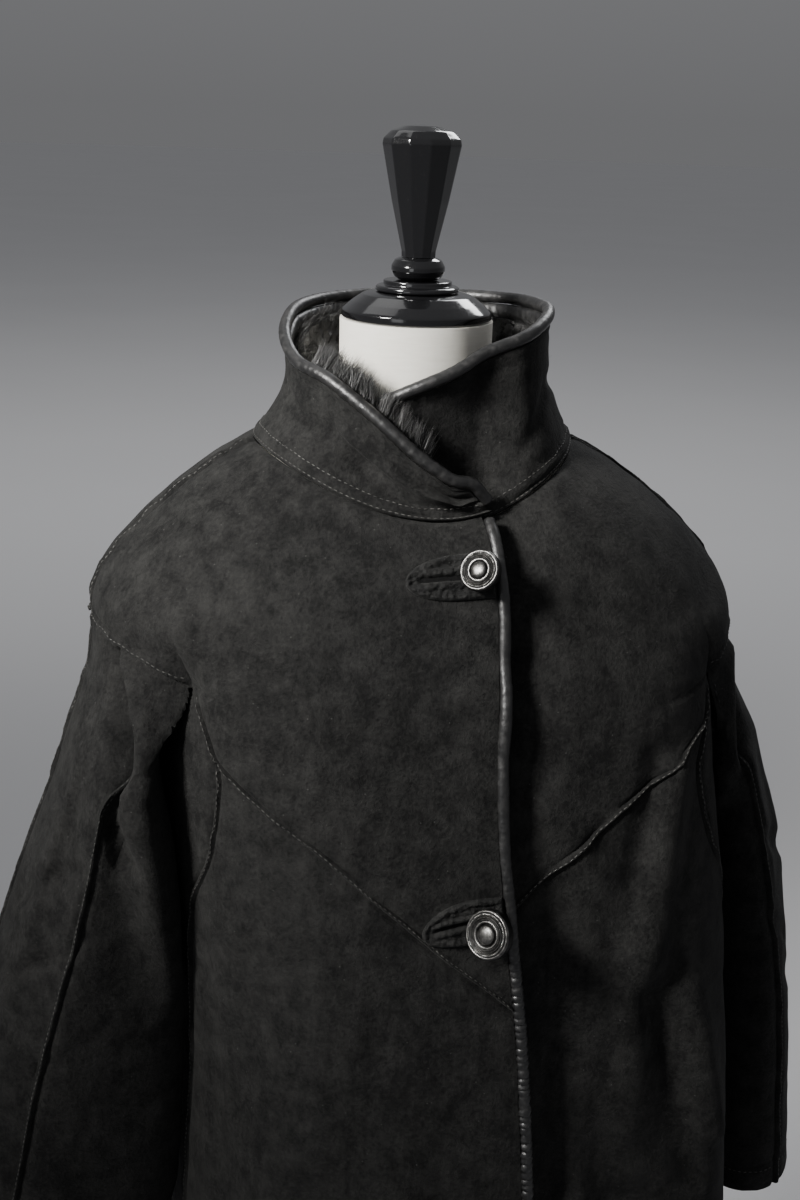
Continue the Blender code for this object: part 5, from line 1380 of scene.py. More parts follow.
def build_sleeve(side, part):
    """The front panel reaches from the front seam to the overarm seam, and the back panel has the rest."""
    shares, angles = sleeve_grid(side, part)
    points, normals = sleeve_places(angles, shares[:, None], side)
    creases = sleeve_creases(angles, points[..., 2], side)
    front = part == "front"
    lap = lap_over if front else lap_under
    window = smooth(0.0, ROLL_FROM, shares[:, None]) * smooth(ROLL_TO, ROLL_FULL_TO, shares[:, None])

    def rolled(distances):
        if front:
            return -ROLL_RECESS * bump(distances["first"], ROLL_REACH) * window
        return fold_edge(distances["last"]) * window

    edges = {"top": lap_under, "bottom": turned_edge, "first": lap, "last": lap}
    name = "%s_%s" % (side_name(side), part)
    piece, panel = build_panel("sleeve_panel_" + name, "sleeve_" + name, points, normals, edges, creases,
                               rolled=rolled)
    lines = [seam_line(panel, "bottom", CUFF_BAND)]
    if front:
        shown = slice(int(np.searchsorted(shares, ROLL_FULL_TO)), None)
        lines += [seam_line(panel, "first", STITCH_IN, shown), seam_line(panel, "last", STITCH_IN)]
    return piece, panel, lines


# ---- the collar ----

def collar_grid(shares, height):
    """Turns, points and normals of the collar at shares across and heights down."""
    turn = collar_turn(shares[None, :], height)
    return turn, collar_point(turn, height), collar_normal(turn, height)


def build_collar():
    shares, heights = graded(COLLAR_LENGTH, COLLAR_STEP), graded(COLLAR_TALL, COLLAR_STEP)
    height = heights[:, None] + 0 * shares[None, :]
    turn, points, normals = collar_grid(shares, height)
    creases = np.zeros(turn.shape)
    for turn_a, height_a, turn_b, height_b, half_width, depth in COLLAR_CREASES:
        crease = turn_a, height_a * COLLAR_TALL, turn_b, height_b * COLLAR_TALL, half_width, depth
        creases = creases + crease_depth(turn, height * COLLAR_TALL, crease, COLLAR_ARC)
    creases = creases + BINDING_BED * bump((1 - height) * COLLAR_TALL - BINDING_RADIUS * 2, BINDING_RADIUS)
    edges = {"top": lap_band, "bottom": plain_edge, "first": plain_edge, "last": turned_edge}
    piece, panel = build_panel("collar_panel", "collar", points, normals, edges, creases,
                               softness=COLLAR_SOFTNESS)
    return piece, panel, [seam_line(panel, "top", BAND_IN), seam_line(panel, "top", COLLAR_BAND)]


def build_slab(name, front, back, looks, nodes=(), second=None):
    """A solid between two grids of the same size. Its front faces marked in second get the second look."""
    groups = closed_faces(np.ones((front.shape[0] - 1, front.shape[1] - 1), bool))
    chosen = np.zeros(len(groups[0])) if second is None else second[:-1, :-1].ravel()
    indices = np.concatenate([chosen, np.zeros(len(groups[1]) + len(groups[2]))]).astype(int)
    vertices = np.concatenate([front.reshape(-1, 3), back.reshape(-1, 3)])
    return new_piece(name, vertices, np.concatenate(groups), looks, nodes, indices)


def build_facing():
    """The leather band inside the collar's edge, which is drawn into wrinkles."""
    shares, levels = np.linspace(*FACING_SHARES, FACING_COLUMNS), np.linspace(0, 1, FACING_ROWS)
    height = 1 - levels[:, None] * FACING_TALL / COLLAR_TALL + 0 * shares[None, :]
    turn, points, normals = collar_grid(shares, height)
    along = path_lengths(points, 1)
    place = np.stack([along / WRINKLE_SIZE, height * COLLAR_TALL / (3 * WRINKLE_SIZE), 0 * along], axis=-1)
    coarse = np.abs(soft_noise(place * FACING_COARSE, 1.0, WRINKLE_SEED + 3))
    folds = FACING_FINE * soft_noise(place, 1.0, WRINKLE_SEED + 4) - coarse
    bulge = np.sqrt(np.clip(1 - (2 * levels[:, None] - 1) ** 2, 0, 1))
    seam = bump((1 - height) * COLLAR_TALL - FACING_STITCH, GROOVE_HALF)
    depth = FACING_DEPTH * bulge + FACING_FOLDS * folds * bulge - LAP_GROOVE * seam * bulge
    back = points - normals * (WALL + FACING_GAP)
    front = back - normals * np.maximum(depth, FACING_GAP)[..., None]
    return build_slab("collar_facing", front, back, ["binding"])


# ---- bindings ----

def swept(name, node, centres, outs, wrinkled, ribbed=0.0):
    """A rolled strip of leather around a line of centres. wrinkled is for over SMOOTH_Z, and under it."""
    along = path_lengths(centres, 0)
    count = int(along[-1] / BINDING_RING)
    at = np.linspace(0, along[-1], count)
    centres, outs = [read_along(at, along, values) for values in (centres, outs)]
    tangent = unit(np.gradient(centres, axis=0))
    outs = unit(outs - tangent * np.sum(outs * tangent, axis=1, keepdims=True))
    normals = np.cross(outs, tangent)
    turns = 2 * math.pi * np.arange(BINDING_SIDES) / BINDING_SIDES
    direction = outs[:, None] * np.cos(turns)[None, :, None] + normals[:, None] * np.sin(turns)[None, :, None]
    swept_at = at[:, None] + WRINKLE_LEAN * np.sin(turns + WRINKLE_PHASE)[None, :]
    place = np.stack([swept_at / WRINKLE_SIZE, np.cos(turns)[None, :] * WRINKLE_ROUND + 0 * swept_at,
                      np.sin(turns)[None, :] * WRINKLE_ROUND + 0 * swept_at], axis=-1)
    ripple = soft_noise(place, 1.0, WRINKLE_SEED)
    sharp = np.abs(soft_noise(place * SHARP_SCALE + SHARP_OFFSET, 1.0, WRINKLE_SEED + 1))
    sharp = SHARP_MIDDLE - sharp * SHARP_DEPTH
    fade = smooth(0.0, END_FADE, at) * smooth(at[-1], at[-1] - END_FADE, at)
    fade = fade * (wrinkled[1] + (wrinkled[0] - wrinkled[1]) * smooth(*SMOOTH_Z, centres[:, 2]))
    radius = BINDING_RADIUS * (1 + BINDING_SWELL * soft_noise(place * SWELL_SCALE, 1.0, WRINKLE_SEED + 2))
    radius = radius + fade[:, None] * (WRINKLE_DEPTH * ripple + WRINKLE_FOLD * sharp)
    ribs_at = swept_at + RIB_SHIFT * soft_noise(place * RIB_SCALE, 1.0, WRINKLE_SEED + 5)
    ribs = np.abs(np.sin(math.pi * ribs_at / RIB_PITCH)) ** RIB_POWER - RIB_MIDDLE
    radius = radius + ribbed * RIB_DEPTH * ribs * smooth(*RIB_Z, centres[:, 2])[:, None]
    from_end = np.minimum(np.minimum(at, at[-1] - at) / END_ROUND, 1.0)
    round_ends = np.sqrt(np.clip(1 - (1 - from_end) ** 2, END_LEAST, 1))
    points = centres[:, None] + direction * (radius * round_ends[:, None])[..., None]
    return closed_rings(name, points, "binding", [node])


def soften_line(points, rounds):
    """Rounds a line's corners without moving its ends."""
    for _ in range(rounds):
        points = np.concatenate([points[:1], (points[:-2] + 2 * points[1:-1] + points[2:]) / 4, points[-1:]])
    return points


def build_collar_binding():
    """Up the slanted outer end, then along the whole upper edge."""
    up = np.linspace(BINDING_FOOT, 1.0, FOOT_PLACES)
    turns = np.concatenate([collar_turn(0.0, up), collar_turn(np.linspace(0, 1, RIM_PLACES)[1:], 1.0)])
    heights = np.concatenate([up, np.ones(RIM_PLACES - 1)])
    rims, normals = collar_point(turns, heights), collar_normal(turns, heights)
    tangent = unit(np.gradient(rims, axis=0))
    out = unit(np.cross(tangent, normals))
    out = np.where(out[:, 2:] < 0, -out, out)
    out = unit(soften_line(out, OUT_ROUNDS))
    centres = rims - normals * WALL / 2 + out * (BINDING_RADIUS + SEAM_GAP)
    centres = soften_line(centres, CORNER_ROUNDS)
    return swept("collar_edge", "collar_binding", centres, out, COLLAR_WRINKLES)


def build_front_binding():
    drops = np.linspace(BINDING_FROM, float(drop_at(0, HEM_Z)) - BINDING_SHORT_BY, RIM_PLACES)
    points, normals = coat_place(turn_at(lap_reach(drops) - 2 * BINDING_RADIUS, drops), drops, -1)
    across = unit(np.cross(np.array([0.0, 0.0, 1.0]), normals))
    centres = points + across * (BINDING_RADIUS + SEAM_GAP) - normals * WALL * BINDING_DEPTH
    return swept("front_edge", "front_binding", centres, across, FRONT_WRINKLES, ribbed=1.0)


# ---- fur ----

def fur_roots(count, rng, first_share, last_share, low, high):
    """Random places on the collar's inner side, with their normals."""
    share = rng.uniform(first_share, last_share, count)
    height = rng.uniform(low, high, count)
    turn = collar_turn(share, height)
    normals = collar_normal(turn, height)
    return turn, height, collar_point(turn, height) - normals * (WALL + FUR_ROOT), normals


def build_strands(name, roots, ways, lengths, rng):
    """Strands as thin tapered tubes with three sides. Each bends from its way toward its clump's."""
    count = len(roots)
    side = unit(np.cross(ways[:, 0], rng.normal(size=(count, 3))))
    levels = len(STRAND_RINGS)
    points = np.zeros((count, levels * 3 + 1, 3))
    at = roots.copy()
    before = 0.0
    for r, (share, wide) in enumerate(STRAND_RINGS + [(1.0, 0.0)]):
        way = unit(ways[:, 0] * (1 - share) + ways[:, 1] * share)
        at = at + way * (lengths * (share - before))[:, None]
        before = share
        if r == levels:
            points[:, -1] = at
            break
        other = unit(np.cross(way, side))
        first = np.cross(other, way)
        for k in range(3):
            turn = 2 * math.pi * k / 3
            out = first * math.cos(turn) + other * math.sin(turn)
            points[:, r * 3 + k] = at + out * STRAND_RADIUS * wide
    faces = []
    for r in range(levels - 1):
        for k in range(3):
            near, far, following = r * 3, (r + 1) * 3, (k + 1) % 3
            faces.append((near + k, far + k, far + following))
            faces.append((near + k, far + following, near + following))
    for k in range(3):
        faces.append(((levels - 1) * 3 + k, levels * 3, (levels - 1) * 3 + (k + 1) % 3))
    faces.append((0, 1, 2))
    faces = np.array(faces)
    size = points.shape[1]
    all_faces = (faces[None] + size * np.arange(count)[:, None, None]).reshape(-1, 3)
    return new_piece(name, clear_of_neck(points.reshape(-1, 3)), all_faces, ["fur"], recalculate=False)


def clear_of_neck(points):
    """Keeps the fur out of the form's neck."""
    reach = np.hypot(points[..., 0], points[..., 1])
    points[..., :2] *= np.maximum(NECK_CLEAR / reach, 1.0)[..., None]
    return points


def build_fur():
    """Strands whose tips are drawn together into locks."""
    rng = np.random.default_rng(FUR_SEED)
    pieces = []
    clump_turn, clump_height, clump_root, _ = fur_roots(FUR_CLUMPS, rng, 0.0, 1.0, CLUMPS_FROM, 1.0)
    clump_way = rng.normal(size=(FUR_CLUMPS, 3))
    upward = np.array([0.0, 0.0, 1.0])
    for patch in FUR_PATCHES:
        turn, height, roots, normals = fur_roots(patch.count, rng, patch.first_share, patch.last_share,
                                                 patch.low, patch.high)
        gap = (turn[:, None] - clump_turn[None, :]) * FUR_TURN_ARC
        tall = (height[:, None] - clump_height[None, :]) * COLLAR_TALL
        own = np.argmin(gap ** 2 + tall ** 2, axis=1)
        lengths = patch.length * rng.uniform(*STRAND_LENGTHS, patch.count)
        start = unit(upward * patch.lean - normals + ROOT_SPREAD * rng.normal(size=roots.shape))
        lock = unit(upward * (patch.lean + CLUMP_LIFT) - normals + CLUMP_SPREAD * clump_way[own])
        tips = clump_root[own] + lock * patch.length
        end = unit(tips - roots) * CLUMP_PULL + lock * (1 - CLUMP_PULL)
        end = end + TIP_SPREAD * rng.normal(size=roots.shape)
        pieces.append(build_strands(patch.name, roots, np.stack([start, unit(end)], axis=1), lengths, rng))
    return pieces


def build_fur_body():
    """The thick under-fur along the collar's inner side, lumpy and clear of the neck."""
    shares = np.linspace(*FUR_SHARES, FUR_COLUMNS)
    height = np.linspace(FUR_FOOT, FUR_TOP, FUR_ROWS)[:, None] + 0 * shares[None, :]
    turn, points, normals = collar_grid(shares, height)
    lumps = 1 + FUR_LUMPS * soft_noise(points, FUR_LUMP_SIZE)
    lumps = lumps + FUR_LUMPS * soft_noise(points, FUR_LUMP_SIZE * FUR_SMALL_LUMPS)
    fullness = FUR_LEAST + (1 - FUR_LEAST) * smooth(FUR_FOOT + FUR_FADE[0], FUR_FOOT + FUR_FADE[1], height)
    back = points - normals * (WALL + FUR_GAP)
    front = clear_of_neck(points - normals * (WALL + FUR_GAP + FUR_DEPTH * lumps * fullness)[..., None])
    return build_slab("fur_body", front, back, ["fur"], ["collar_fur"])


# ---- buttonhole patches and buttons ----

def build_patch(place):
    """A leaf of suede with raised wrinkled lips around a slit, whose faces are painted near-black as painted
    shade of the hole.
    """
    middle = place.z + place.patch_up
    far = float(lap_reach(drop_on_front(middle))) - 2 * BINDING_RADIUS - PATCH_SHORT_BY
    near = place.offset - place.patch_reach
    shares, levels = np.linspace(0, 1, PATCH_COLUMNS), np.linspace(-1, 1, PATCH_ROWS)
    share = shares[None, :] + 0 * levels[:, None]
    level = levels[:, None] + 0 * share
    tip = np.sqrt(1 - (1 - np.minimum(share / PATCH_TIP, 1.0)) ** 2)
    half = place.patch_half * np.maximum(tip, PATCH_TIP_LEAST)
    off = half * level
    up = middle + off - place.patch_bend * (1 - share) ** 2
    points, normals = right_front_place(near + (far - near) * share, up)
    end = np.minimum(share, 1 - share) * (far - near)
    border = np.minimum((1 - np.abs(level)) * half, end * PATCH_END_COUNTS)
    swell = PATCH_LIP * smooth(*EDGE_SWELL, border) * (1 - EDGE_SINK * smooth(*EDGE_BEHIND, border))
    wrinkle = soft_noise(points * np.array(WRINKLE_FLAT), WRINKLE_FINE, PUCKER_SEED)
    wrinkle = wrinkle - WRINKLE_MIX * np.abs(soft_noise(points, WRINKLE_COARSE, PUCKER_SEED + 1))
    slit = bump(off + PATCH_SLIT_SAG * (share - 0.5), SLIT_HALF) * smooth(*SLIT_FROM, share)
    lips = bump(np.abs(off) - LIP_AT, LIP_HALF) * smooth(*LIP_FROM, share)
    wrinkled = PATCH_WRINKLE * wrinkle * smooth(*EDGE_FLAT, border)
    height = swell + wrinkled + PATCH_LIP * lips - PATCH_SLIT * slit
    height = np.maximum(height, -PATCH_THICKNESS * PATCH_LEAST)
    base = points + normals * PATCH_GAP
    top = points + normals * (PATCH_THICKNESS + PATCH_GAP + height)[..., None]
    top[[0, -1]] = points[[0, -1]] + normals[[0, -1]] * (PATCH_GAP + PATCH_THICKNESS * PATCH_RIM)
    # Faces deep in the slit get the near-black look: painted shade of the buttonhole's depth.
    return build_slab("patch_" + place.name, top, base, ["patch", "dark"],
                      ["buttonhole_patch_" + place.name], slit > SLIT_PAINTED_SHADE_FROM)


def build_button(place):
    """A cast metal button: a dome in ridged rings like ropes, a deep rim and a shank."""
    point, normal = right_front_place(np.array(place.offset), np.array(place.z))
    azimuth = math.atan2(normal[0], -normal[1]) - math.radians(place.lean_side)
    rise = math.asin(normal[2]) + math.radians(place.lean_up)
    axis = np.array([math.sin(azimuth) * math.cos(rise), -math.cos(azimuth) * math.cos(rise), math.sin(rise)])
    lean = math.acos(float(np.dot(axis, normal)))
    top = PATCH_THICKNESS + PATCH_GAP + 2 * SEAM_GAP
    lift = top + place.radius * (RIM_BACK * math.cos(lean) + math.sin(lean))
    shank = (lift - top - place.radius * SHANK_RADIUS * math.sin(lean)) / math.cos(lean) / place.radius
    turns = np.linspace(0, 2 * math.pi, BUTTON_SIDES, endpoint=False)
    rings = []
    for ring in BUTTON_RINGS:
        wave = np.sin(turns * ring.ropes + ring.twist) if ring.ropes else 0 * turns
        rings.append((ring.radius, ring.height + ring.relief * wave))
    rings += [(SHANK_RADIUS, -RIM_BACK + 0 * turns), (SHANK_RADIUS, -shank + 0 * turns)]
    vertices = [(0.0, BUTTON_DOME, 0.0)] + [(radius * math.sin(turn), height[k], radius * math.cos(turn))
                                            for radius, height in rings for k, turn in enumerate(turns)]
    sides = BUTTON_SIDES
    faces = [(0, 1 + (k + 1) % sides, 1 + k) for k in range(sides)] + tube_faces(len(rings), sides, 1)
    faces.append(tuple(1 + (len(rings) - 1) * sides + k for k in range(sides)))
    up = unit(np.array([0.0, 0.0, 1.0]) - axis * axis[2])
    across = np.cross(up, axis)
    local = np.array(vertices) * place.radius
    world = local[:, :1] * across + local[:, 1:2] * axis + local[:, 2:] * up + point + normal * lift
    looks = [["metal", "patina"].index(ring.look) for ring in BUTTON_RINGS] + [1, 1]
    indices = [look for look in looks for _ in range(sides)] + [1]
    return new_piece("cast_button_" + place.name, world, faces, ["metal", "patina"],
                     ["button_" + place.name], indices)


# ---- the form and its stand ----

def build_form_body():
    heights = np.linspace(FORM_RINGS[0].z, FORM_RINGS[-1].z, FORM_LEVELS)
    turns = 360 * np.arange(FORM_SIDES) / FORM_SIDES
    rings = []
    for z in heights:
        values = [float(value) for value in read_row(FORM_RINGS, z)]
        squared = float(smooth(FORM_ROUND_Z + FORM_ROUND_ABOVE, FORM_ROUND_Z - FORM_ROUND_BELOW, z))
        squareness = 2.0 + (FORM_SQUARENESS - 2.0) * squared
        x, y = ring_offset(turns, values[0], *values, squareness)
        rings.append(vectors(x, y, z))
    return closed_rings("linen_form", rings, "linen", ["form_body"])


def lathe(name, profile, node_name):
    """A turned solid. Its profile's corners are slightly rounded."""
    turns = 2 * math.pi * np.arange(LATHE_SIDES) / LATHE_SIDES
    rings = [vectors(r * np.sin(turns), -r * np.cos(turns), z) for r, z in round_profile(profile)]
    return closed_rings(name, rings, "lacquer", [node_name])


def round_profile(profile):
    """Cuts each corner of a profile twice, close to it."""
    points = [np.array(point, float) for point in profile]
    for _ in range(2):
        result = [points[0]]
        for before, here, after in zip(points, points[1:], points[2:]):
            for other in (before, after):
                gap = np.linalg.norm(other - here)
                result.append(here + (other - here) * min(PROFILE_CUT / gap, PROFILE_CUT_MOST))
        points = result + [points[-1]]
    return [(max(float(r), LEAST_RADIUS), float(z)) for r, z in points]


def build_handle():
    """A turned knob with flat sides, which fade out into its domed top."""
    profile = round_profile(HANDLE_PROFILE)
    fine = []
    for (r0, z0), (r1, z1) in zip(profile, profile[1:]):
        parts = max(1, int(math.hypot(r1 - r0, z1 - z0) / HANDLE_STEP))
        fine += [(r0 + (r1 - r0) * k / parts, z0 + (z1 - z0) * k / parts) for k in range(parts)]
    turns = 2 * math.pi * np.arange(HANDLE_SIDES) / HANDLE_SIDES
    sector = 2 * math.pi / HANDLE_FLATS
    chord = math.cos(sector / 2) / np.cos(((turns % sector) - sector / 2))
    rings = []
    for r, z in fine + [profile[-1]]:
        share = float(smooth(profile[0][1] - FLATS_END, profile[0][1] - FLATS_FULL, z))
        radius = r * (1 - share * (1 - chord))
        rings.append(vectors(radius * np.sin(turns), -radius * np.cos(turns), z))
    return closed_rings("fluted_handle", rings, "lacquer", ["handle"])


def build_stand():
    lathe("cap_lathe", CAP_PROFILE, "neck_cap")
    lathe("discs_lathe", DISC_PROFILE, "cap_discs")
    lathe("ring_lathe", RING_PROFILE, "cap_ring")
    build_handle()
    pole_ends = FORM_RINGS[0].z - SEAM_GAP, BASE_PROFILE[0][1] + SEAM_GAP
    lathe("pole_tube", [(POLE_RADIUS, z) for z in pole_ends], "pole")
    lathe("base_lathe", BASE_PROFILE, "base")


# ---- materials ----

def node(tree, kind, inputs=None, **settings):
    made = tree.nodes.new("ShaderNode" + kind)
    for name, value in settings.items():
        setattr(made, name, value)
    for name, value in (inputs or {}).items():
        feed(tree, made.inputs[name], value)
    return made


def feed(tree, socket, value):
    if isinstance(value, bpy.types.NodeSocket):
        tree.links.new(value, socket)
    else:
        socket.default_value = value


def noise(tree, at, scale, detail=3.0, roughness=0.55, distortion=0.0):
    return node(tree, "TexNoise", {"Vector": at, "Scale": scale, "Detail": detail, "Roughness": roughness,
                                   "Distortion": distortion}).outputs["Fac"]


def cells(tree, at, scale, feature="F1"):
    return node(tree, "TexVoronoi", {"Vector": at, "Scale": scale}, feature=feature).outputs


def stretched(tree, at, scale):
    return node(tree, "Mapping", {"Vector": at, "Scale": scale}).outputs["Vector"]


def math_of(tree, operation, a, b=0.0):
    made = node(tree, "Math", operation=operation)
    feed(tree, made.inputs[0], a)
    feed(tree, made.inputs[1], b)
    return made.outputs[0]


def times(tree, a, b):
    return math_of(tree, "MULTIPLY", a, b)


def weighted(tree, *parts):
    """A sum of textures, each times its weight."""
    products = [times(tree, texture, weight) for texture, weight in parts]
    return reduce(lambda a, b: math_of(tree, "ADD", a, b), products)


def ranged(tree, value, low, high, to_low=0.0, to_high=1.0):
    return node(tree, "MapRange", {"Value": value, "From Min": low, "From Max": high, "To Min": to_low,
                                   "To Max": to_high}, clamp=True).outputs["Result"]


def mixed(tree, factor, a, b):
    made = node(tree, "Mix", data_type="RGBA")
    feed(tree, made.inputs[0], factor)
    for socket, colour in ((made.inputs[6], a), (made.inputs[7], b)):
        feed(tree, socket, colour if isinstance(colour, bpy.types.NodeSocket) else (*colour, 1))
    return made.outputs[2]


def make(name, build):
    """A material. build(tree, at) gives its colour, its roughness, its bumps and its plain levels."""
    material = bpy.data.materials.new(name)
    material.use_nodes = True
    tree = material.node_tree
    inputs = tree.nodes["Principled BSDF"].inputs
    colour, roughness, bumps, levels = build(tree, node(tree, "TexCoord").outputs["Object"])
    for socket, value in {"Base Color": colour, "Roughness": roughness, **levels}.items():
        feed(tree, inputs[socket], value)
    normal = None
    for height, strength, depth in bumps:
        made = node(tree, "Bump", {"Height": height, "Strength": strength, "Distance": depth})
        if normal:
            tree.links.new(normal, made.inputs["Normal"])
        normal = made.outputs["Normal"]
    tree.links.new(normal, inputs["Normal"])
    return material


def suede(dark, light, sheen, nap_depth=0.0005, rough=(0.78, 0.98)):
    """Brushed suede: faintly clouded, with a fine uneven nap, lint and a few pale scuffs."""
    def build(tree, at):
        clouds = noise(tree, at, 9.0, 3.0)
        patches = noise(tree, at, 55.0, 5.0, 0.65)
        mottle = noise(tree, at, 330.0, 4.0, 0.7)
        fibre = noise(tree, at, 1500.0, 2.0, 0.7)
        brushed = noise(tree, stretched(tree, at, (1.0, 1.0, 0.25)), 130.0, 4.0, 0.6)
        tone = weighted(tree, (clouds, 0.45), (patches, 1.1), (mottle, 1.2), (brushed, 0.45))
        colour = mixed(tree, ranged(tree, tone, 1.36, 1.94), dark, light)
        scuffs = noise(tree, stretched(tree, at, (1.0, 1.0, 0.45)), 34.0, 7.0, 0.75, 0.6)
        scuffs = ranged(tree, scuffs, 0.66, 0.84)
        colour = mixed(tree, times(tree, scuffs, 0.6), colour, SCUFF)
        lint = cells(tree, at, 300.0)
        chosen = ranged(tree, node(tree, "SeparateColor", {"Color": lint["Color"]}).outputs[0], 0.955, 0.965)
        speck = times(tree, ranged(tree, lint["Distance"], 0.17, 0.07), chosen)
        colour = mixed(tree, times(tree, speck, 0.4), colour, LINT)
        bumps = [(patches, 0.6, 0.0022), (mottle, 0.9, 0.0012), (fibre, 0.9, nap_depth)]
        levels = {"Sheen Weight": sheen, "Sheen Roughness": 0.45, "Sheen Tint": SHEEN_TINT,
                  "Specular IOR Level": 0.22}
        return colour, ranged(tree, mottle, 0.3, 0.75, *rough), bumps, levels
    return build


def leather(tree, at):
    """Glossy black rolled leather with fine grain and worn ridges."""
    worn = noise(tree, at, 160.0, 4.0, 0.6)
    grain = cells(tree, at, 1100.0)["Distance"]
    folds = noise(tree, at, 520.0, 3.0, 0.6)
    colour = mixed(tree, ranged(tree, worn, 0.45, 0.8), LEATHER_DARK, LEATHER_LIGHT)
    return (colour, ranged(tree, worn, 0.35, 0.75, 0.36, 0.54), [(folds, 0.4, 0.0005), (grain, 0.35, 0.0002)],
            {"Specular IOR Level": 0.75})


def fur(tree, at):
    """Hair whose strands differ: mostly black, and some grey."""
    own = node(tree, "NewGeometry").outputs["Random Per Island"]
    streaks = noise(tree, stretched(tree, at, (1.0, 1.0, 0.2)), 700.0, 2.0)
    tone = weighted(tree, (own, 0.6), (streaks, 0.4))
    return (mixed(tree, ranged(tree, tone, 0.48, 0.82), FUR_BLACK, FUR_GREY),
            ranged(tree, streaks, 0.3, 0.7, 0.42, 0.57), [(streaks, 0.5, 0.0006)], {"Specular IOR Level": 0.5})


def fleece(tree, at):
    """The clipped pile of the coat's inner side."""
    curls = cells(tree, at, 210.0, "SMOOTH_F1")["Distance"]
    fine = noise(tree, at, 900.0, 3.0, 0.7)
    return (mixed(tree, ranged(tree, curls, 0.1, 0.6), FLEECE_LIGHT, FLEECE_DARK),
            ranged(tree, fine, 0.3, 0.7, 0.85, 1.0),
            [(curls, 0.9, 0.003), (fine, 0.6, 0.0008)], {"Sheen Weight": 0.3})


def metal(dark, light, rough):
    """Cast metal, cloudy and finely pitted."""
    def build(tree, at):
        cloud = noise(tree, at, 300.0, 4.0, 0.6)
        pits = noise(tree, at, 2200.0, 3.0, 0.6)
        return (mixed(tree, ranged(tree, cloud, 0.35, 0.7), dark, light),
                ranged(tree, pits, 0.3, 0.75, *rough),
                [(cloud, 0.25, 0.0003), (pits, 0.35, 0.00012)], {"Metallic": 1.0})
    return build


def linen(tree, at):
    """Plain-woven cloth, stretched over the form. Its threads run up and around."""
    around = node(tree, "TexGradient", {"Vector": at}, gradient_type="RADIAL").outputs["Fac"]
    height = node(tree, "SeparateXYZ", {"Vector": at}).outputs["Z"]
    warp, weft = [math_of(tree, "SINE", times(tree, place, 2 * math.pi * threads))
                  for place, threads in ((around, LINEN_AROUND), (height, LINEN_UP))]
    weave = times(tree, warp, weft)
    slub = noise(tree, stretched(tree, at, (1.0, 1.0, 8.0)), 60.0, 4.0, 0.65)
    fine = noise(tree, at, 1500.0, 2.0)
    tone = weighted(tree, (slub, 0.5), (noise(tree, at, 14.0, 3.0), 0.5))
    colour = mixed(tree, ranged(tree, tone, 0.3, 0.7), LINEN_DARK, LINEN_LIGHT)
    colour = mixed(tree, ranged(tree, weave, 0.4, 1.0, 0.0, 0.12), colour, LINEN_SHADE)
    return (colour, ranged(tree, fine, 0.3, 0.7, 0.85, 0.97),
            [(weave, 0.35, 0.00025), (slub, 0.25, 0.0004), (fine, 0.3, 0.00015)],
            {"Sheen Weight": 0.12, "Specular IOR Level": 0.25})


def lacquer(tree, at):
    """Polished black lacquer with faint dust and rub marks."""
    dust = noise(tree, at, 420.0, 5.0, 0.7)
    waves = noise(tree, at, 38.0, 2.0)
    return (mixed(tree, ranged(tree, dust, 0.62, 0.8), LACQUER_BLACK, LACQUER_DUST),
            ranged(tree, dust, 0.4, 0.8, 0.09, 0.24), [(waves, 0.2, 0.0008), (dust, 0.08, 0.0001)],
            {"Specular IOR Level": 0.55, "Coat Weight": 0.6, "Coat Roughness": 0.06})


def thread(dark, light):
    """Twisted thread, which is paler in some places."""
    def build(tree, at):
        twist = noise(tree, stretched(tree, at, (1.0, 1.0, 0.4)), 2600.0, 2.0)
        cloud = noise(tree, at, 70.0, 3.0)
        return (mixed(tree, ranged(tree, cloud, 0.35, 0.65), dark, light),
                ranged(tree, twist, 0.3, 0.7, 0.45, 0.7), [(twist, 0.5, 0.0002)], {})
    return build


def floor_paint(tree, at):
    """A matte studio floor, very slightly uneven."""
    fine = noise(tree, at, 60.0, 4.0)
    return (mixed(tree, noise(tree, at, 0.7, 3.0), FLOOR_DARK, FLOOR_LIGHT),
            ranged(tree, fine, 0.3, 0.7, 0.85, 0.95), [(fine, 0.1, 0.0005)], {"Specular IOR Level": 0.1})


def make_materials():
    builds = {
        "suede": suede(SUEDE_DARK, SUEDE_LIGHT, SUEDE_SHEEN),
        "patch": suede(PATCH_DARK, PATCH_LIGHT, PATCH_SHEEN, PATCH_NAP, PATCH_ROUGH),
        # dark: near-black painted shade for the buttonhole slits, without sheen
        "dark": suede(SLIT_PAINTED_SHADE_DARK, SLIT_PAINTED_SHADE_LIGHT, 0.0),
        "fleece": fleece,
        "binding": leather,
        "fur": fur,
        "metal": metal(METAL_DARK, METAL_LIGHT, METAL_ROUGH),
        "patina": metal(PATINA_DARK, PATINA_LIGHT, PATINA_ROUGH),
        "linen": linen,
        "lacquer": lacquer,
        "dark_thread": thread(*DARK_THREAD),
        "grey_thread": thread(*GREY_THREAD),
        "floor": floor_paint,
    }
    for name, build in builds.items():
        MATERIALS[name] = make(name + "_look", build)


# ---- camera, lights and floor ----

def in_coat(x, y, z):
    """The photographer's frame turned into the coat's, which stands turned to the viewer's right."""
    c, s = math.cos(COAT_TURN), math.sin(COAT_TURN)
    return Vector((x * c + y * s, -x * s + y * c, z))


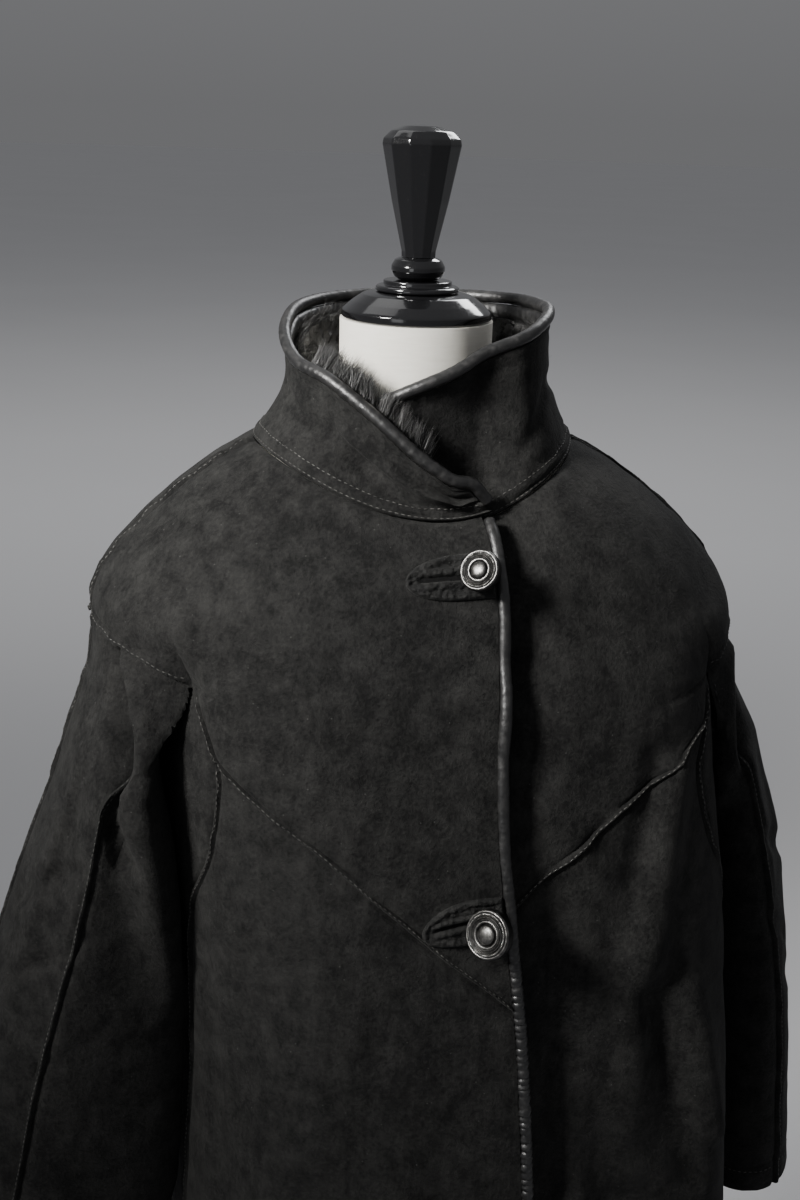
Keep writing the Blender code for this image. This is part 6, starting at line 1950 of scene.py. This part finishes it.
def add_camera():
    right = Vector((1, 0, 0))
    forward = Vector((0, math.cos(PITCH), -math.sin(PITCH)))
    up = right.cross(forward)
    across = in_coat(*(math.cos(ROLL) * right + math.sin(ROLL) * up))
    upward = in_coat(*(-math.sin(ROLL) * right + math.cos(ROLL) * up))
    back = in_coat(*-forward)
    place = in_coat(CAMERA_X, -CAMERA_DISTANCE, CAMERA_Z)
    data = bpy.data.cameras.new("camera")
    data.sensor_fit = "VERTICAL"
    data.sensor_height = SENSOR
    data.lens = SENSOR * FOCAL_PIXELS / PHOTO_HEIGHT
    data.clip_end = 300
    camera = bpy.data.objects.new("camera", data)
    camera.matrix_world = Matrix.Translation(place) @ Matrix((across, upward, back)).transposed().to_4x4()
    bpy.context.scene.collection.objects.link(camera)
    bpy.context.scene.camera = camera


def add_light(row):
    data = bpy.data.lights.new(row.name, "AREA")
    data.shape = "RECTANGLE"
    data.size, data.size_y = row.width, row.height
    data.spread = math.radians(row.spread)
    data.energy = row.energy
    data.color = row.colour
    light = bpy.data.objects.new(row.name, data)
    light.location = in_coat(row.x, row.y, row.z)
    way = in_coat(row.to_x, row.to_y, row.to_z) - light.location
    light.rotation_euler = way.to_track_quat("-Z", "Y").to_euler()
    bpy.context.scene.collection.objects.link(light)


def add_studio():
    for row in LIGHTS:
        add_light(row)
    world = bpy.data.worlds.new("studio")
    world.use_nodes = True
    tree = world.node_tree
    rise = node(tree, "SeparateXYZ", {"Vector": node(tree, "TexCoord").outputs["Generated"]}).outputs["Z"]
    sky = mixed(tree, ranged(tree, rise, 0.0, HORIZON_TOP), HORIZON, ZENITH)
    feed(tree, tree.nodes["Background"].inputs["Color"], sky)
    bpy.context.scene.world = world
    mesh = bpy.data.meshes.new("floor")
    cage = bmesh.new()
    bmesh.ops.create_circle(cage, cap_ends=True, segments=128, radius=FLOOR_RADIUS)
    cage.to_mesh(mesh)
    cage.free()
    mesh.materials.append(MATERIALS["floor"])
    floor = bpy.data.objects.new("floor", mesh)
    bpy.context.scene.collection.objects.link(floor)


# ---- everything together ----

def declare(made, extra=(), thread_look="dark_thread"):
    """Builds a panel's stitches along its seam lines. The argument extra, for what is sewn to the panel, is
    not used.
    """
    piece, panel, lines = made
    lines = [line for line in lines if len(line[0]) > 2]
    stitches = build_stitches("stitches_" + piece.name, lines, thread_look)


def main():
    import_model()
    make_materials()
    add_camera()
    add_studio()
    build_form_body()
    build_stand()
    patches = [build_patch(place) for place in BUTTONS]
    buttons = [build_button(place) for place in BUTTONS]
    fur_pieces = [build_fur_body(), *build_fur()]
    declare(build_collar(),
            [build_collar_binding(), build_facing(), *fur_pieces], "grey_thread")
    front_edge = build_front_binding()
    declare(build_front_yoke(-1), [front_edge, *patches[:2], *buttons[:2]])
    declare(build_front_yoke(1))
    declare(build_back_yoke())
    declare(build_front_lower(-1), [patches[2], buttons[2]])
    declare(build_front_lower(1))
    declare(build_back_lower())
    for side in (-1, 1):
        declare(build_side_panel(side))
        for part in ("front", "back"):
            declare(build_sleeve(side, part))
    bpy.context.view_layer.update()


main()
